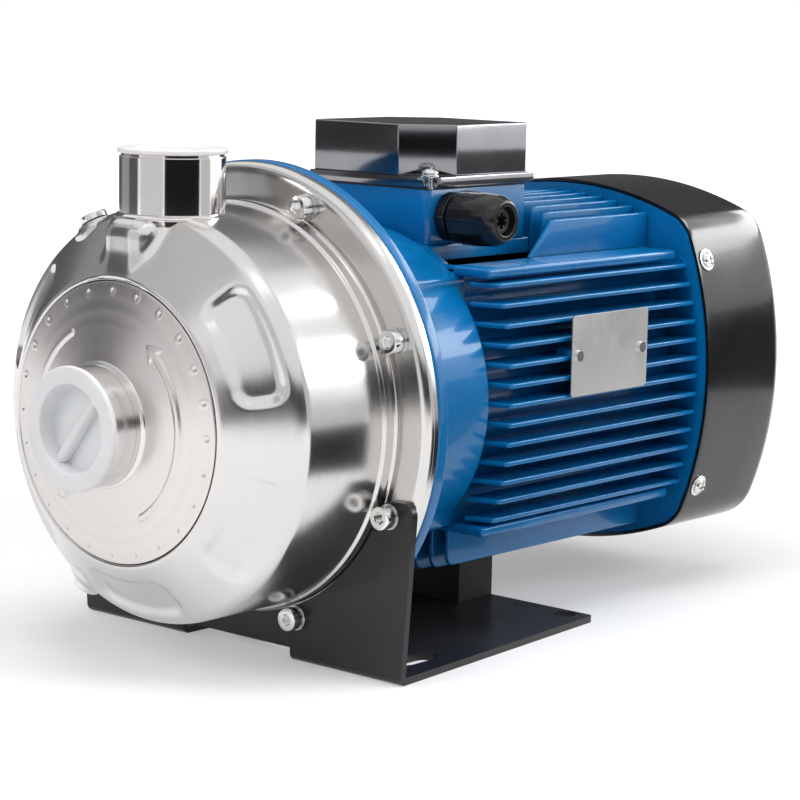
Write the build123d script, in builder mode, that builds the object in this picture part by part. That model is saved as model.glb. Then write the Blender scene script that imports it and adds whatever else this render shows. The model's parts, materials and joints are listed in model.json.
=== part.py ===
from build123d import *
import os
from math import asin, atan2, cos, pi, radians, sin, sqrt, tan

os.makedirs("parts", exist_ok=True)

# Horizontal end-suction centrifugal pump, close-coupled to a finned motor.
# X runs along the shaft from the suction port to the fan cover, Z is up.
# The origin lies on the underside of the base, midway between the rear foot holes.
# Stations are distances along the shaft, behind the joint between pump end and motor.

# Overall layout and clearances
shaft_height = 122.0
rear_hole_station = 151.0
bolt_circle_r = 108.0
bolt_count = 8
bolt_d = 6.0
bolt_clearance = 0.4
running_gap = 0.05
thread_gap = 0.1
weld_gap = 0.05
loose_gap = 0.3

# Pressed casing
sheet = 2.0
casing_r = 99.5
casing_crown = 70.0
casing_nose = 94.0
casing_nose_r = 69.0
casing_nose_round = 4.0
casing_crown_round = 9.0
opening_r = 67.0
bead_station = 14.0
bead_half_width = 2.2
bead_rise = 1.4
bead_round = 1.2
flange_r = 119.0
flange_face = 8.0
flange_rim_round = 4.6
pocket_pitch = 60
pocket_inner_r = 76.0
pocket_outer_r = 94.5
pocket_half_angle = 19.0
pocket_depth = 2.6
pocket_corner_r = 6.0
neck_half_width = 27.0
neck_front = 90.5
neck_back = 30.0
neck_top = 95.0
neck_round = 7.0

# Ports, G 1 1/2 suction and G 1 1/4 discharge
suction_end = 119.0
suction_outer_r = 28.5
suction_thread_r = 22.4
suction_thread_length = 18.0
suction_lead_r = 24.6
suction_lead_depth = 9.0
discharge_station = 56.8
discharge_end = 124.9
discharge_foot = 90.0
discharge_outer_r = 25.2
discharge_thread_r = 19.5
discharge_lead_r = 21.3
discharge_lead_depth = 7.0
port_chamfer = 0.8

# Caps pushed into the ports
cap_rim = 2.6
cap_overhang = 0.9
cap_wall = 3.4
cap_floor = 1.6
cap_end_gap = 0.6
cap_bar = 2.6
cap_bar_angle = 52.0
cap_round = 0.8

# Welded front plate and the guide behind it
plate_rise = 8.7
guide_sheet = 1.5
guide_rim_r = 58.0
wear_ring_outer_r = 35.5
wear_ring_front = 62.0
wear_ring_width = 7.0

# Vent and drain plugs
vent_angle = 26.5
drain_angle = 28.8
plug_tilt = 8.0
plug_setback = 2.0
plug_thread_r = 5.0
plug_thread_length = 8.0
plug_head_r = 6.8
plug_head_length = 3.0
plug_key_r = 3.2
plug_key_depth = 2.0
plug_boss_r = 9.5
plug_boss_rise = 0.5
plug_boss_length = 7.0
plug_washer = 1.0

# Impeller
impeller_r = 78.0
impeller_back = 34.0
shroud_sheet = 2.0
vane_width = 7.0
vane_sheet = 2.5
vane_count = 6
vane_start_r = 23.0
vane_sweep = 62.0
vane_mid_share = 0.62
eye_r = 26.0
eye_wall = 3.9
shroud_rise = 9.0
impeller_hub_r = 13.0
impeller_hub_back = 27.5
impeller_hub_front = 50.0
key_side = 5.0
key_depth = 3.0
key_front = 46.0
key_length = 14.0
impeller_nut_height = 10.0
impeller_nut_r = 10.5

# Shaft
impeller_seat_r = 8.0
nose_r = 6.0
nose_front = 64.0
seal_seat_shaft_r = 9.0
seal_shoulder = 4.0
slinger_shaft_r = 14.0
collar_r = 18.0
core_seat_r = 19.0
fan_seat_r = 11.0
shaft_end = 302.0
shaft_chamfer = 1.0

# Seal plate and mechanical seal
seal_plate_sheet = 3.0
seal_hub_r = 24.0
seal_hub_front = 13.0
seal_hub_lip = 6.0
seal_seat_r = 18.5
seal_seat_front = 12.5
seal_seat_bore_r = 11.0
seal_face_gap = 0.1
rotary_r = 17.0
rotary_width = 7.0
spring_coil_r = 13.0
spring_wire = 1.6
spring_turns = 3.0
spring_gap = 0.2
o_ring_r = 101.0
o_ring_wire = 1.4
o_ring_groove = 2.0

# Slinger
slinger_station = 10.0
slinger_width = 5.0
slinger_r = 26.0

# Motor housing
motor_flange_step = 0.6
motor_flange = 7.0
flare_r = 100.0
flare_back = 34.0
bell_r = 83.0
bell_back = 80.0
bell_back_r = 85.0
bell_recess_r = 90.0
bell_recess = 8.0
bell_cavity = 30.0
bell_cavity_r = 74.0
web_station = 42.0
web_sheet = 6.0
web_bore_r = 20.0
web_lip = 4.0
bearing_hub_wall = 7.0
barrel_r = 77.0
stator_r = 70.0
barrel_back = 246.0
envelope_half = 95.0
envelope_arc_r = 190.0
fin_sheet = 2.4
side_fin_pitch = 9.85
side_fin_count = 13
side_fin_slant = 4.6
top_fin_pitch = 10.4
top_fin_count = 6
top_fin_round = 4.0
core_half_width = 60.5
core_half_height = 67.7
ledge_thickness = 5.2
ledge_half_width = 82.0
ledge_back = 241.0
ledge_round = 2.0
inner_fin_front = 170.0
second_fin_front = 167.0
outer_fin_front = 143.0
outer_fin_slope = 42.0
bottom_fin_front = 82.0
block_half_width = 63.0
block_shoulder_z = 62.0
block_under_z = 65.5
block_side_z = 52.0
block_draft = 1.0
block_back = 86.0

# Pedestal and terminal box
box_front = 83.5
box_length = 82.0
box_half_width = 38.0
box_top_z = 103.8
box_wall = 3.0
box_corner_r = 3.0
pedestal_top_z = 75.7
roof_ridge_z = 82.4
roof_ridge_half = 8.0
pedestal_back = 168.0
wire_way_station = 91.5
wire_way_r = 4.5
gasket = 1.0
lid_flange_length = 84.0
lid_flange_half_width = 41.4
lid_flange = 5.2
lid_length = 79.0
lid_half_width = 39.5
lid_top_z = 136.0
lid_corner = 21.0
lid_wall = 2.5
lid_shift = 1.6
lid_edge_round = 1.0
lid_screw_inset = 4.6
lid_screw_r = 2.0
lid_screw_length = 14.0
lid_post_r = 4.2
lid_notch_r = 2.6
board_length = 46.0
board_width = 34.0
board_height = 9.0
board_corner_r = 2.0
stud_r = 2.0
stud_height = 11.0
stud_pitch = 13.0
link_sheet = 1.2
link_r = 4.0

# Cable gland
gland_station = 102.0
gland_z = 89.6
gland_thread_r = 10.0
gland_hex_r = 13.2
gland_hex_width = 6.0
gland_neck_r = 10.6
gland_neck_end = 62.0
gland_bore_r = 7.5
gland_nut_front = 46.0
gland_nut_r = 13.4
gland_nut_lip = 3.0
gland_nut_dome = 66.0
gland_nut_round = 4.0
gland_end = 75.0
gland_mouth_r = 7.0
gland_cable_r = 4.0
gland_flute_r = 1.1
gland_flute_count = 12

# Bearings, end shield and rotating parts of the motor
front_bearing_bore_r = 15.0
front_bearing_r = 31.0
front_bearing_width = 16.0
rear_bearing_bore_r = 12.5
rear_bearing_r = 26.0
rear_bearing_width = 15.0
rear_bearing_station = 238.0
bearing_race = 3.2
bearing_shield_depth = 1.0
wave_spring = 2.0
wave_spring_width = 4.0
stator_front = 92.0
stator_length = 110.0
stator_bore_r = 38.0
air_gap = 0.4
winding_inner_r = 44.0
winding_outer_r = 64.0
winding_length = 20.0
end_ring_length = 8.0
end_ring_inner_r = 26.0
shield_sheet = 6.0
shield_r = 84.0
shield_hub_wall = 6.0
shield_spigot = 6.0
shield_lip = 3.0
shield_lip_r = 16.0
shield_ear_y = 78.0
shield_ear_z = 56.0
shield_ear_r = 8.0
shield_screw_y = 50.0
shield_screw_z = 58.0
shield_screw_r = 3.0
shield_screw_length = 14.0

# Fan and fan cover
fan_front = 264.0
fan_back = 292.0
fan_disc_station = 268.0
fan_r = 84.0
fan_hub_r = 17.0
fan_blade_width = 24.0
fan_blades = 7
blade_sheet = 2.4
circlip_sheet = 1.5
circlip_depth = 0.6
circlip_r = 15.0
cover_front = 248.0
cover_back = 324.0
cover_half = 101.0
cover_arc_r = 200.0
cover_corner_r = 25.0
cover_sheet = 1.5
cover_round = 12.0
cover_screw_station = 256.0
cover_screw_z = 62.0
cover_screw_r = 2.5
cover_screw_length = 11.0
cover_lug_length = 15.0
grille_rings = 5
grille_inner_r = 26.0
grille_pitch = 11.0
grille_slot = 6.0
grille_arc = 44.0
grille_sectors = 6

# Bent base, foot block and its screws
base_sheet = 3.5
base_back_station = 159.8
base_front_half = 108.6
base_back_half = 93.7
base_corner_r = 3.0
lug_half = 114.7
lug_top = 34.0
lug_round = 6.0
bend_r = 4.0
cradle_r = 102.0
relief_half_width = 37.0
relief_height = 6.5
relief_depth = 26.0
relief_round = 5.0
foot_slot_station = 23.5
foot_slot_y = 87.5
foot_slot_length = 28.0
foot_slot_r = 6.0
rear_hole_y = 81.6
rear_hole_r = 6.0
foot_block_front = 131.0
foot_block_length = 28.0
foot_block_half_width = 26.0
foot_screw_r = 4.0
foot_screw_head_r = 7.0
foot_screw_y = 13.0
foot_screw_length = 16.0
foot_screw_taper = 45.0
countersink_land = 1.0

# Screw heads and washers
bolt_head_r = 5.6
bolt_head = 4.8
bolt_washer = 1.2
bolt_washer_r = 6.2
spring_washer = 1.6
spring_washer_r = 5.4
spring_washer_split = 1.0
bolt_key_r = 3.2
bolt_key_depth = 2.8
small_head_r = 4.4
small_head = 2.8
small_washer = 1.2
small_washer_r = 4.7

# Nameplate
label_front = 130.5
label_length = 65.0
label_height = 41.5
label_bottom_z = 0.2
label_sheet = 0.8
label_face = 97.0
label_corner_r = 2.0
label_post_r = 3.0
label_post_foot = 90.0
label_post_inset = 5.5
label_screw_r = 1.5
label_screw_length = 6.0
label_head_r = 2.8
label_head = 1.2

# Places worked out from the sizes above
joint_x = -rear_hole_station
motor_flange_r = flange_r + motor_flange_step
axial = Plane(origin=(joint_x, 0, shaft_height), x_dir=(1, 0, 0), z_dir=(0, 0, 1))
shaft_axis = Axis((joint_x, 0, shaft_height), (1, 0, 0))
bolt_r = bolt_d / 2
bolt_start = 180 / bolt_count
cone_angle = atan2(casing_r - casing_nose_r, casing_nose - casing_crown)
plate_bore_r = suction_outer_r + weld_gap
plate_slope = plate_rise / (opening_r - plate_bore_r)
suction_thread_front = suction_end - suction_lead_depth
suction_thread_back = suction_thread_front - suction_thread_length
upright_front = flange_face + base_sheet
plug_hole_depth = max(plug_boss_length, plug_thread_length) + thread_gap
wear_ring_inner_r = eye_r + eye_wall + loose_gap
shroud_front = impeller_back + shroud_sheet
eye_station = shroud_front + vane_width + shroud_rise
front_bearing_station = web_station + web_lip
bearing_hub_back = front_bearing_station + front_bearing_width
rear_bearing_back = rear_bearing_station + rear_bearing_width
stator_back = stator_front + stator_length
shield_lip_front = rear_bearing_back + wave_spring
cover_screw_y = cover_half - cover_arc_r + sqrt(cover_arc_r**2 - cover_screw_z**2)
cover_screw_tilt = asin(cover_screw_z / cover_arc_r)
lid_flange_z = box_top_z + gasket
lid_hood_z = lid_flange_z + lid_flange
box_middle = box_front + box_length / 2
lid_screw_x = lid_flange_length / 2 - lid_screw_inset
lid_screw_y = lid_flange_half_width - lid_screw_inset
box_floor_z = pedestal_top_z + box_wall
label_middle_z = label_bottom_z + label_height / 2
label_back = label_face - label_sheet
foot_block_middle = foot_block_front + foot_block_length / 2


def cross(station):
    # Plane square to the shaft, with local axes across and up
    origin = (joint_x + station, 0, shaft_height)
    return Plane(origin=origin, x_dir=(0, 1, 0), z_dir=(1, 0, 0))


def level(height):
    # Horizontal plane at a height above the shaft, with local axes along and across
    return Plane(origin=(joint_x, 0, shaft_height + height), z_dir=(0, 0, 1))


def side(distance):
    # Upright plane on the near side, facing outwards, with local axes along and up
    return Plane(origin=(joint_x, -distance, shaft_height), x_dir=(1, 0, 0), z_dir=(0, -1, 0))


def section(*points, radii=None):
    # Closed profile in the plane of the shaft: station along, radius out
    with BuildSketch(axial) as profile:
        with BuildLine():
            if radii:
                FilletPolyline(*points, radius=radii, close=True)
            else:
                Polyline(*points, close=True)
        make_face()
    return profile.sketch


def ring(front, back, inner_r, outer_r):
    # Profile of a plain ring or disc
    return section((front, inner_r), (back, inner_r), (back, outer_r), (front, outer_r))


def bolt_places(count=bolt_count):
    # Places of the casing bolts on their circle
    return PolarLocations(bolt_circle_r, count, start_angle=bolt_start)


def squared_circle(half, arc_r, corner_r):
    # Rounded square with bulging sides, centred on the shaft
    with BuildSketch() as form:
        Rectangle(2 * half, 2 * half)
        for turn in range(4):
            bulge = Rot(0, 0, 90 * turn) * Pos(half - arc_r, 0)
            with Locations(bulge):
                Circle(arc_r, mode=Mode.INTERSECT)
        fillet(form.vertices(), corner_r)
    return form.sketch


def envelope(offset_from_middle):
    # Reach of a cooling fin from the shaft, on the bulging outline of the motor
    return envelope_half - envelope_arc_r + sqrt(envelope_arc_r**2 - offset_from_middle**2)


def plate_station(radius, depth=0.0):
    # Station on the conical front plate at a radius and a depth behind its face
    return -casing_nose - (opening_r - radius) * plate_slope + depth


def plug_plane(up, rise):
    # Plane above the crown of the casing, square to the vent plug (up 1) or the drain plug (up -1)
    lean = radians(vent_angle if up > 0 else drain_angle)
    tilt = radians(plug_tilt)
    crown_r = casing_r - casing_crown_round
    crown_station = plug_setback - casing_crown + casing_crown_round * tan(cone_angle / 2)
    out = casing_crown_round + rise
    seat_r = crown_r + out * cos(tilt)
    across = Vector(0, cos(lean), -up * sin(lean))
    way = Vector(-sin(tilt), cos(tilt) * sin(lean), up * cos(tilt) * cos(lean))
    seat = Vector(crown_station - out * sin(tilt), seat_r * sin(lean), up * seat_r * cos(lean))
    return Plane(origin=seat + Vector(joint_x, 0, shaft_height), x_dir=across, z_dir=way)


def cover_plane(across, up, depth):
    # Plane on one of the four screw places of the fan cover, facing outwards
    normal = Vector(0, across * cos(cover_screw_tilt), up * sin(cover_screw_tilt))
    place = Vector(joint_x + cover_screw_station, across * cover_screw_y, shaft_height + up * cover_screw_z)
    return Plane(origin=place - normal * depth, x_dir=(1, 0, 0), z_dir=normal)


def keep(piece, name):
    piece.part.label = name
    export_step(piece.part, f"parts/{name}.step")


# Pump casing: a drawn shell with pressed pockets, a neck and welded plug bosses


def dome_corners(inset):
    # Nose and crown of the drawn form, moved square to the sheet
    nose = (-casing_nose + inset, casing_nose_r - inset * tan((pi / 2 - cone_angle) / 2))
    crown = (-casing_crown + inset * tan(cone_angle / 2), casing_r - inset)
    return nose, crown


def dome(inset):
    # Solid of the drawn form: the outside, or the inside when inset by the sheet
    nose, crown = dome_corners(inset)
    back = -seal_plate_sheet
    rounds = [0, casing_nose_round - inset, casing_crown_round - inset, 0, 0]
    with BuildPart() as form:
        outline = ((nose[0], 0), nose, crown, (back, crown[1]), (back, 0))
        revolve(section(*outline, radii=rounds), axis=shaft_axis)
    return form.part


def pockets(inset):
    # What the pockets take from a form: rounded sectors down to a deeper cone
    nose, crown = dome_corners(inset + pocket_depth)
    front = -casing_nose - sheet
    far_r = casing_r + sheet
    with BuildPart() as tool:
        revolve(section(nose, crown, (crown[0], far_r), (front, far_r), (front, nose[1])), axis=shaft_axis)
        with BuildSketch(cross(front)) as outlines:
            for turn in range(pocket_pitch, 360, pocket_pitch):
                start = 90 + turn - pocket_half_angle
                with BuildLine():
                    inner = CenterArc((0, 0), pocket_inner_r - inset, start, 2 * pocket_half_angle)
                    outer = CenterArc((0, 0), pocket_outer_r + inset, start, 2 * pocket_half_angle)
                    Line(inner @ 0, outer @ 0)
                    Line(inner @ 1, outer @ 1)
                make_face()
            fillet(outlines.vertices(), pocket_corner_r + inset)
        extrude(amount=crown[0] - front, mode=Mode.INTERSECT)
    return tool.part


def neck(inset):
    # Rounded prow that carries the discharge port
    length = neck_front - neck_back - 2 * inset
    with BuildPart() as boss:
        with BuildSketch(level(0)):
            with Locations((-(neck_front + neck_back) / 2, 0)):
                SlotOverall(length, 2 * (neck_half_width - inset))
        extrude(amount=neck_top - inset)
        fillet(boss.faces().sort_by(Axis.Z)[-1].edges(), neck_round - inset)
    return boss.part


with BuildPart() as casing_room:
    add(dome(sheet))
    add(pockets(sheet), mode=Mode.SUBTRACT)

with BuildPart() as pump_casing:
    add(dome(0))
    add(pockets(0), mode=Mode.SUBTRACT)
    add(neck(0))
    rim = [0, 0, flange_rim_round, 0]
    flange = ((-seal_plate_sheet, casing_r - sheet), (-flange_face, casing_r - sheet))
    flange_rim = ((-flange_face, flange_r), (-seal_plate_sheet, flange_r))
    revolve(section(*flange, *flange_rim, radii=rim), axis=shaft_axis)
    bead_front = -bead_station - bead_half_width
    bead_back = -bead_station + bead_half_width
    bead_crest = casing_r + bead_rise
    bead_foot = casing_r - sheet
    bead = ((bead_front, bead_foot), (bead_back, bead_foot))
    bead_top = ((bead_back, bead_crest), (bead_front, bead_crest))
    revolve(section(*bead, *bead_top, radii=[0, 0, bead_round, bead_round]), axis=shaft_axis)
    add(casing_room.part, mode=Mode.SUBTRACT)
    add(neck(sheet), mode=Mode.SUBTRACT)
    for up in (1, -1):
        with BuildSketch(plug_plane(up, plug_boss_rise)):
            Circle(plug_boss_r)
        extrude(amount=-plug_boss_length)
        with BuildSketch(plug_plane(up, plug_boss_rise)):
            Circle(plug_thread_r + thread_gap)
        extrude(amount=-plug_hole_depth, mode=Mode.SUBTRACT)
    with BuildSketch(cross(-casing_nose)):
        Circle(opening_r)
    extrude(amount=sheet, mode=Mode.SUBTRACT)
    with BuildSketch(level(0)):
        with Locations((-discharge_station, 0)):
            Circle(discharge_outer_r + weld_gap)
    extrude(amount=casing_r, mode=Mode.SUBTRACT)
    with BuildSketch(cross(-flange_face)):
        with bolt_places():
            Circle(bolt_r + bolt_clearance)
    extrude(amount=flange_face - seal_plate_sheet, mode=Mode.SUBTRACT)
keep(pump_casing, "pump_casing")

# Front plate: a shallow cone welded into the opening of the casing
with BuildPart() as suction_plate:
    plate_rim_r = opening_r - weld_gap
    revolve(
        section(
            (plate_station(plate_rim_r), plate_rim_r),
            (plate_station(plate_bore_r), plate_bore_r),
            (plate_station(plate_bore_r, sheet), plate_bore_r),
            (plate_station(plate_rim_r, sheet), plate_rim_r),
        ),
        axis=shaft_axis,
    )
keep(suction_plate, "suction_plate")

# Suction port: a turned pipe with a lead-in and an inside pipe thread
with BuildPart() as suction_port:
    revolve(ring(-suction_end, -suction_thread_back, suction_thread_r, suction_outer_r), axis=shaft_axis)
    lead_in = ring(-suction_end, -suction_thread_front, 0, suction_lead_r)
    revolve(lead_in, axis=shaft_axis, mode=Mode.SUBTRACT)
    mouth = suction_port.edges().filter_by(GeomType.CIRCLE).group_by(Axis.X)[0]
    chamfer(mouth, port_chamfer)
keep(suction_port, "suction_port")

# Discharge port: the same pipe form, let into the neck
with BuildPart() as discharge_port:
    with BuildSketch(level(discharge_foot)):
        with Locations((-discharge_station, 0)):
            Circle(discharge_outer_r)
            Circle(discharge_thread_r, mode=Mode.SUBTRACT)
    extrude(amount=discharge_end - discharge_foot)
    with BuildSketch(level(discharge_end)):
        with Locations((-discharge_station, 0)):
            Circle(discharge_lead_r)
    extrude(amount=-discharge_lead_depth, mode=Mode.SUBTRACT)
    mouth = discharge_port.edges().filter_by(GeomType.CIRCLE).group_by(Axis.Z)[-1]
    chamfer(mouth, port_chamfer)
keep(discharge_port, "discharge_port")


def port_cap(mouth, port_r, lead_r, lead_depth):
    # Moulded cap: a rim on the port's face, a cup in its lead-in and a finger bar across
    cup_depth = lead_depth - cap_end_gap
    cup_r = lead_r - loose_gap
    with BuildPart() as cap:
        with BuildSketch(mouth):
            Circle(port_r + cap_overhang)
        extrude(amount=cap_rim)
        with BuildSketch(mouth):
            Circle(cup_r)
        extrude(amount=-cup_depth)
        with BuildSketch(mouth.offset(cap_rim)):
            Circle(cup_r - cap_wall)
        extrude(amount=-(cap_rim + cup_depth - cap_floor), mode=Mode.SUBTRACT)
        with BuildSketch(mouth.offset(-cup_depth)):
            Rectangle(2 * cup_r - cap_wall, cap_bar, rotation=cap_bar_angle)
        extrude(amount=cup_depth)
        face = cap.faces().sort_by(Axis(mouth.origin, mouth.z_dir))[-1]
        fillet(face.edges(), cap_round)
    return cap


suction_mouth = Plane(origin=cross(-suction_end).origin, x_dir=(0, -1, 0), z_dir=(-1, 0, 0))
suction_cap = port_cap(suction_mouth, suction_outer_r, suction_lead_r, suction_lead_depth)
keep(suction_cap, "suction_cap")

discharge_mouth = Plane(origin=level(discharge_end).origin + Vector(-discharge_station, 0, 0))
discharge_cap = port_cap(discharge_mouth, discharge_outer_r, discharge_lead_r, discharge_lead_depth)
keep(discharge_cap, "discharge_cap")


def casing_plug(up):
    # Screw plug with a hexagon socket, on its sealing washer
    seat = plug_boss_rise + plug_washer
    with BuildPart() as plug:
        with BuildSketch(plug_plane(up, seat)):
            Circle(plug_head_r)
        extrude(amount=plug_head_length)
        with BuildSketch(plug_plane(up, seat)):
            Circle(plug_thread_r)
        extrude(amount=-plug_thread_length - plug_washer)
        with BuildSketch(plug_plane(up, seat + plug_head_length)):
            RegularPolygon(plug_key_r, 6)
        extrude(amount=-plug_key_depth, mode=Mode.SUBTRACT)
    return plug


vent_plug = casing_plug(1)
keep(vent_plug, "vent_plug")
drain_plug = casing_plug(-1)
keep(drain_plug, "drain_plug")

# Sealing washers under both plugs
with BuildPart() as plug_washers:
    for up in (1, -1):
        with BuildSketch(plug_plane(up, plug_boss_rise)):
            Circle(plug_head_r)
            Circle(plug_thread_r + thread_gap, mode=Mode.SUBTRACT)
        extrude(amount=plug_washer)
keep(plug_washers, "plug_washers")

# Inlet guide: a sheet cone that leads the water to the wear ring
with BuildPart() as inlet_guide:
    guide_front = plate_station(guide_rim_r, sheet + weld_gap)
    collar_front = -wear_ring_front
    collar_back = collar_front + wear_ring_width
    collar_inner_r = wear_ring_outer_r + weld_gap
    revolve(
        section(
            (guide_front, guide_rim_r),
            (collar_front, collar_inner_r + guide_sheet),
            (collar_back, collar_inner_r + guide_sheet),
            (collar_back, collar_inner_r),
            (collar_front, collar_inner_r),
            (guide_front, guide_rim_r - guide_sheet),
        ),
        axis=shaft_axis,
    )
keep(inlet_guide, "inlet_guide")

# Wear ring round the eye of the impeller
with BuildPart() as wear_ring:
    wear_ring_back = -wear_ring_front + wear_ring_width
    revolve(ring(-wear_ring_front, wear_ring_back, wear_ring_inner_r, wear_ring_outer_r), axis=shaft_axis)
keep(wear_ring, "wear_ring")

# Impeller: a closed wheel with backward curved vanes
with BuildPart() as impeller:
    with BuildSketch(cross(-shroud_front)) as vanes:
        for number in range(vane_count):
            turn = number * 360 / vane_count
            with BuildLine() as camber:
                start = Vector(vane_start_r, 0).rotate(Axis.Z, turn)
                middle_turn = turn + vane_sweep * vane_mid_share
                middle = Vector((vane_start_r + impeller_r) / 2, 0).rotate(Axis.Z, middle_turn)
                end = Vector(impeller_r, 0).rotate(Axis.Z, turn + vane_sweep)
                ThreePointArc(start, middle, end)
            trace(line_width=vane_sheet)
    extrude(amount=-(vane_width + shroud_rise))
    passage = ((-shroud_front, 0), (-eye_station, 0), (-eye_station, eye_r))
    outlet = ((-shroud_front - vane_width, impeller_r), (-shroud_front, impeller_r))
    revolve(section(*passage, *outlet), axis=shaft_axis, mode=Mode.INTERSECT)
    revolve(ring(-shroud_front, -impeller_back, 0, impeller_r), axis=shaft_axis)
    revolve(ring(-impeller_hub_front, -impeller_hub_back, 0, impeller_hub_r), axis=shaft_axis)
    revolve(
        section(
            (-shroud_front - vane_width, impeller_r),
            (-shroud_front - vane_width - shroud_sheet, impeller_r),
            (-eye_station - shroud_sheet, eye_r + eye_wall),
            (-wear_ring_front, eye_r + eye_wall),
            (-wear_ring_front, eye_r),
            (-eye_station, eye_r),
        ),
        axis=shaft_axis,
    )
    with BuildSketch(cross(-impeller_hub_front)):
        Circle(impeller_seat_r + running_gap)
        with Locations((0, impeller_seat_r)):
            Rectangle(key_side + thread_gap, 2 * (key_side - key_depth) + thread_gap)
    extrude(amount=impeller_hub_front - impeller_hub_back, mode=Mode.SUBTRACT)
keep(impeller, "impeller")

# Impeller nut on the nose of the shaft
with BuildPart() as impeller_nut:
    with BuildSketch(cross(-impeller_hub_front)):
        RegularPolygon(impeller_nut_r, 6)
        Circle(nose_r + running_gap, mode=Mode.SUBTRACT)
    extrude(amount=-impeller_nut_height)
keep(impeller_nut, "impeller_nut")

# Key between shaft and impeller
with BuildPart() as impeller_key:
    with BuildSketch(cross(-key_front)):
        with Locations((0, impeller_seat_r - key_depth + key_side / 2)):
            Rectangle(key_side, key_side)
    extrude(amount=key_length)
keep(impeller_key, "impeller_key")

# Shaft: one stepped bar from the impeller nut to the fan
with BuildPart() as shaft:
    revolve(
        section(
            (-nose_front, 0),
            (-nose_front, nose_r - shaft_chamfer),
            (-nose_front + shaft_chamfer, nose_r),
            (-impeller_hub_front + shaft_chamfer, nose_r),
            (-impeller_hub_front + shaft_chamfer, impeller_seat_r),
            (-impeller_hub_back, impeller_seat_r),
            (-impeller_hub_back, seal_seat_shaft_r),
            (seal_shoulder, seal_seat_shaft_r),
            (seal_shoulder, slinger_shaft_r),
            (front_bearing_station, slinger_shaft_r),
            (front_bearing_station, front_bearing_bore_r - running_gap),
            (bearing_hub_back, front_bearing_bore_r - running_gap),
            (bearing_hub_back, collar_r),
            (stator_front, collar_r),
            (stator_front, core_seat_r),
            (stator_back, core_seat_r),
            (stator_back, collar_r),
            (rear_bearing_station, collar_r),
            (rear_bearing_station, rear_bearing_bore_r - running_gap),
            (rear_bearing_back, rear_bearing_bore_r - running_gap),
            (rear_bearing_back, fan_seat_r),
            (fan_back, fan_seat_r),
            (fan_back, fan_seat_r - circlip_depth),
            (fan_back + circlip_sheet, fan_seat_r - circlip_depth),
            (fan_back + circlip_sheet, fan_seat_r),
            (shaft_end - shaft_chamfer, fan_seat_r),
            (shaft_end, fan_seat_r - shaft_chamfer),
            (shaft_end, 0),
        ),
        axis=shaft_axis,
    )
    with BuildSketch(cross(-key_front)):
        with Locations((0, impeller_seat_r)):
            Rectangle(key_side, 2 * key_depth)
    extrude(amount=key_length, mode=Mode.SUBTRACT)
keep(shaft, "shaft")

# Seal plate: closes the pump casing and carries the fixed seal ring
with BuildPart() as seal_plate:
    seat_bore_r = seal_seat_r + weld_gap
    seat_back = -seal_seat_front + seal_hub_lip + weld_gap
    revolve(ring(-seal_plate_sheet, 0, seal_seat_bore_r, flange_r), axis=shaft_axis)
    revolve(ring(-seal_hub_front, 0, seal_seat_bore_r, seal_hub_r), axis=shaft_axis)
    revolve(ring(-seal_hub_front, seat_back, 0, seat_bore_r), axis=shaft_axis, mode=Mode.SUBTRACT)
    groove_back = -seal_plate_sheet + o_ring_wire
    groove_inner_r = o_ring_r - o_ring_groove / 2
    groove = ring(-seal_plate_sheet, groove_back, groove_inner_r, groove_inner_r + o_ring_groove)
    revolve(groove, axis=shaft_axis, mode=Mode.SUBTRACT)
    with BuildSketch(cross(-seal_plate_sheet)):
        with bolt_places():
            Circle(bolt_r + bolt_clearance)
    extrude(amount=seal_plate_sheet, mode=Mode.SUBTRACT)
keep(seal_plate, "seal_plate")

# Rubber ring between casing and seal plate
with BuildPart() as casing_o_ring:
    with BuildSketch(axial) as wire:
        with Locations((-seal_plate_sheet + o_ring_wire / 2, o_ring_r)):
            Circle((o_ring_wire - running_gap) / 2)
    revolve(axis=shaft_axis)
keep(casing_o_ring, "casing_o_ring")

# Mechanical seal: fixed ring, turning ring and its spring
with BuildPart() as seal_seat:
    seal_seat_back = -seal_seat_front + seal_hub_lip
    revolve(ring(-seal_seat_front, seal_seat_back, seal_seat_bore_r, seal_seat_r), axis=shaft_axis)
keep(seal_seat, "seal_seat")

with BuildPart() as seal_rotary:
    rotary_back = -seal_seat_front - seal_face_gap
    rotary_front = rotary_back - rotary_width
    revolve(ring(rotary_front, rotary_back, seal_seat_shaft_r + running_gap, rotary_r), axis=shaft_axis)
keep(seal_rotary, "seal_rotary")

with BuildPart() as seal_spring:
    spring_front = -impeller_hub_back + spring_gap + spring_wire / 2
    spring_length = rotary_front - spring_gap - spring_wire / 2 - spring_front
    start = cross(spring_front).origin
    pitch = spring_length / spring_turns
    coil = Helix(pitch, spring_length, spring_coil_r, center=start, direction=(1, 0, 0))
    with BuildSketch(Plane(origin=coil @ 0, z_dir=coil % 0)):
        Rectangle(spring_wire, spring_wire)
    sweep(path=coil, is_frenet=True)
keep(seal_spring, "seal_spring")

# Rubber slinger that throws off drips before they reach the bearing
with BuildPart() as slinger:
    slinger_bore_r = slinger_shaft_r + running_gap
    slinger_back = slinger_station + slinger_width
    revolve(
        section(
            (slinger_station, slinger_bore_r),
            (slinger_back, slinger_bore_r),
            (slinger_back, slinger_shaft_r + slinger_width),
            (slinger_station + slinger_width / 2, slinger_r),
            (slinger_station, slinger_r),
        ),
        axis=shaft_axis,
    )
keep(slinger, "slinger")

# Motor housing: one casting of flange, bell, pedestal, finned barrel and ledges

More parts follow.
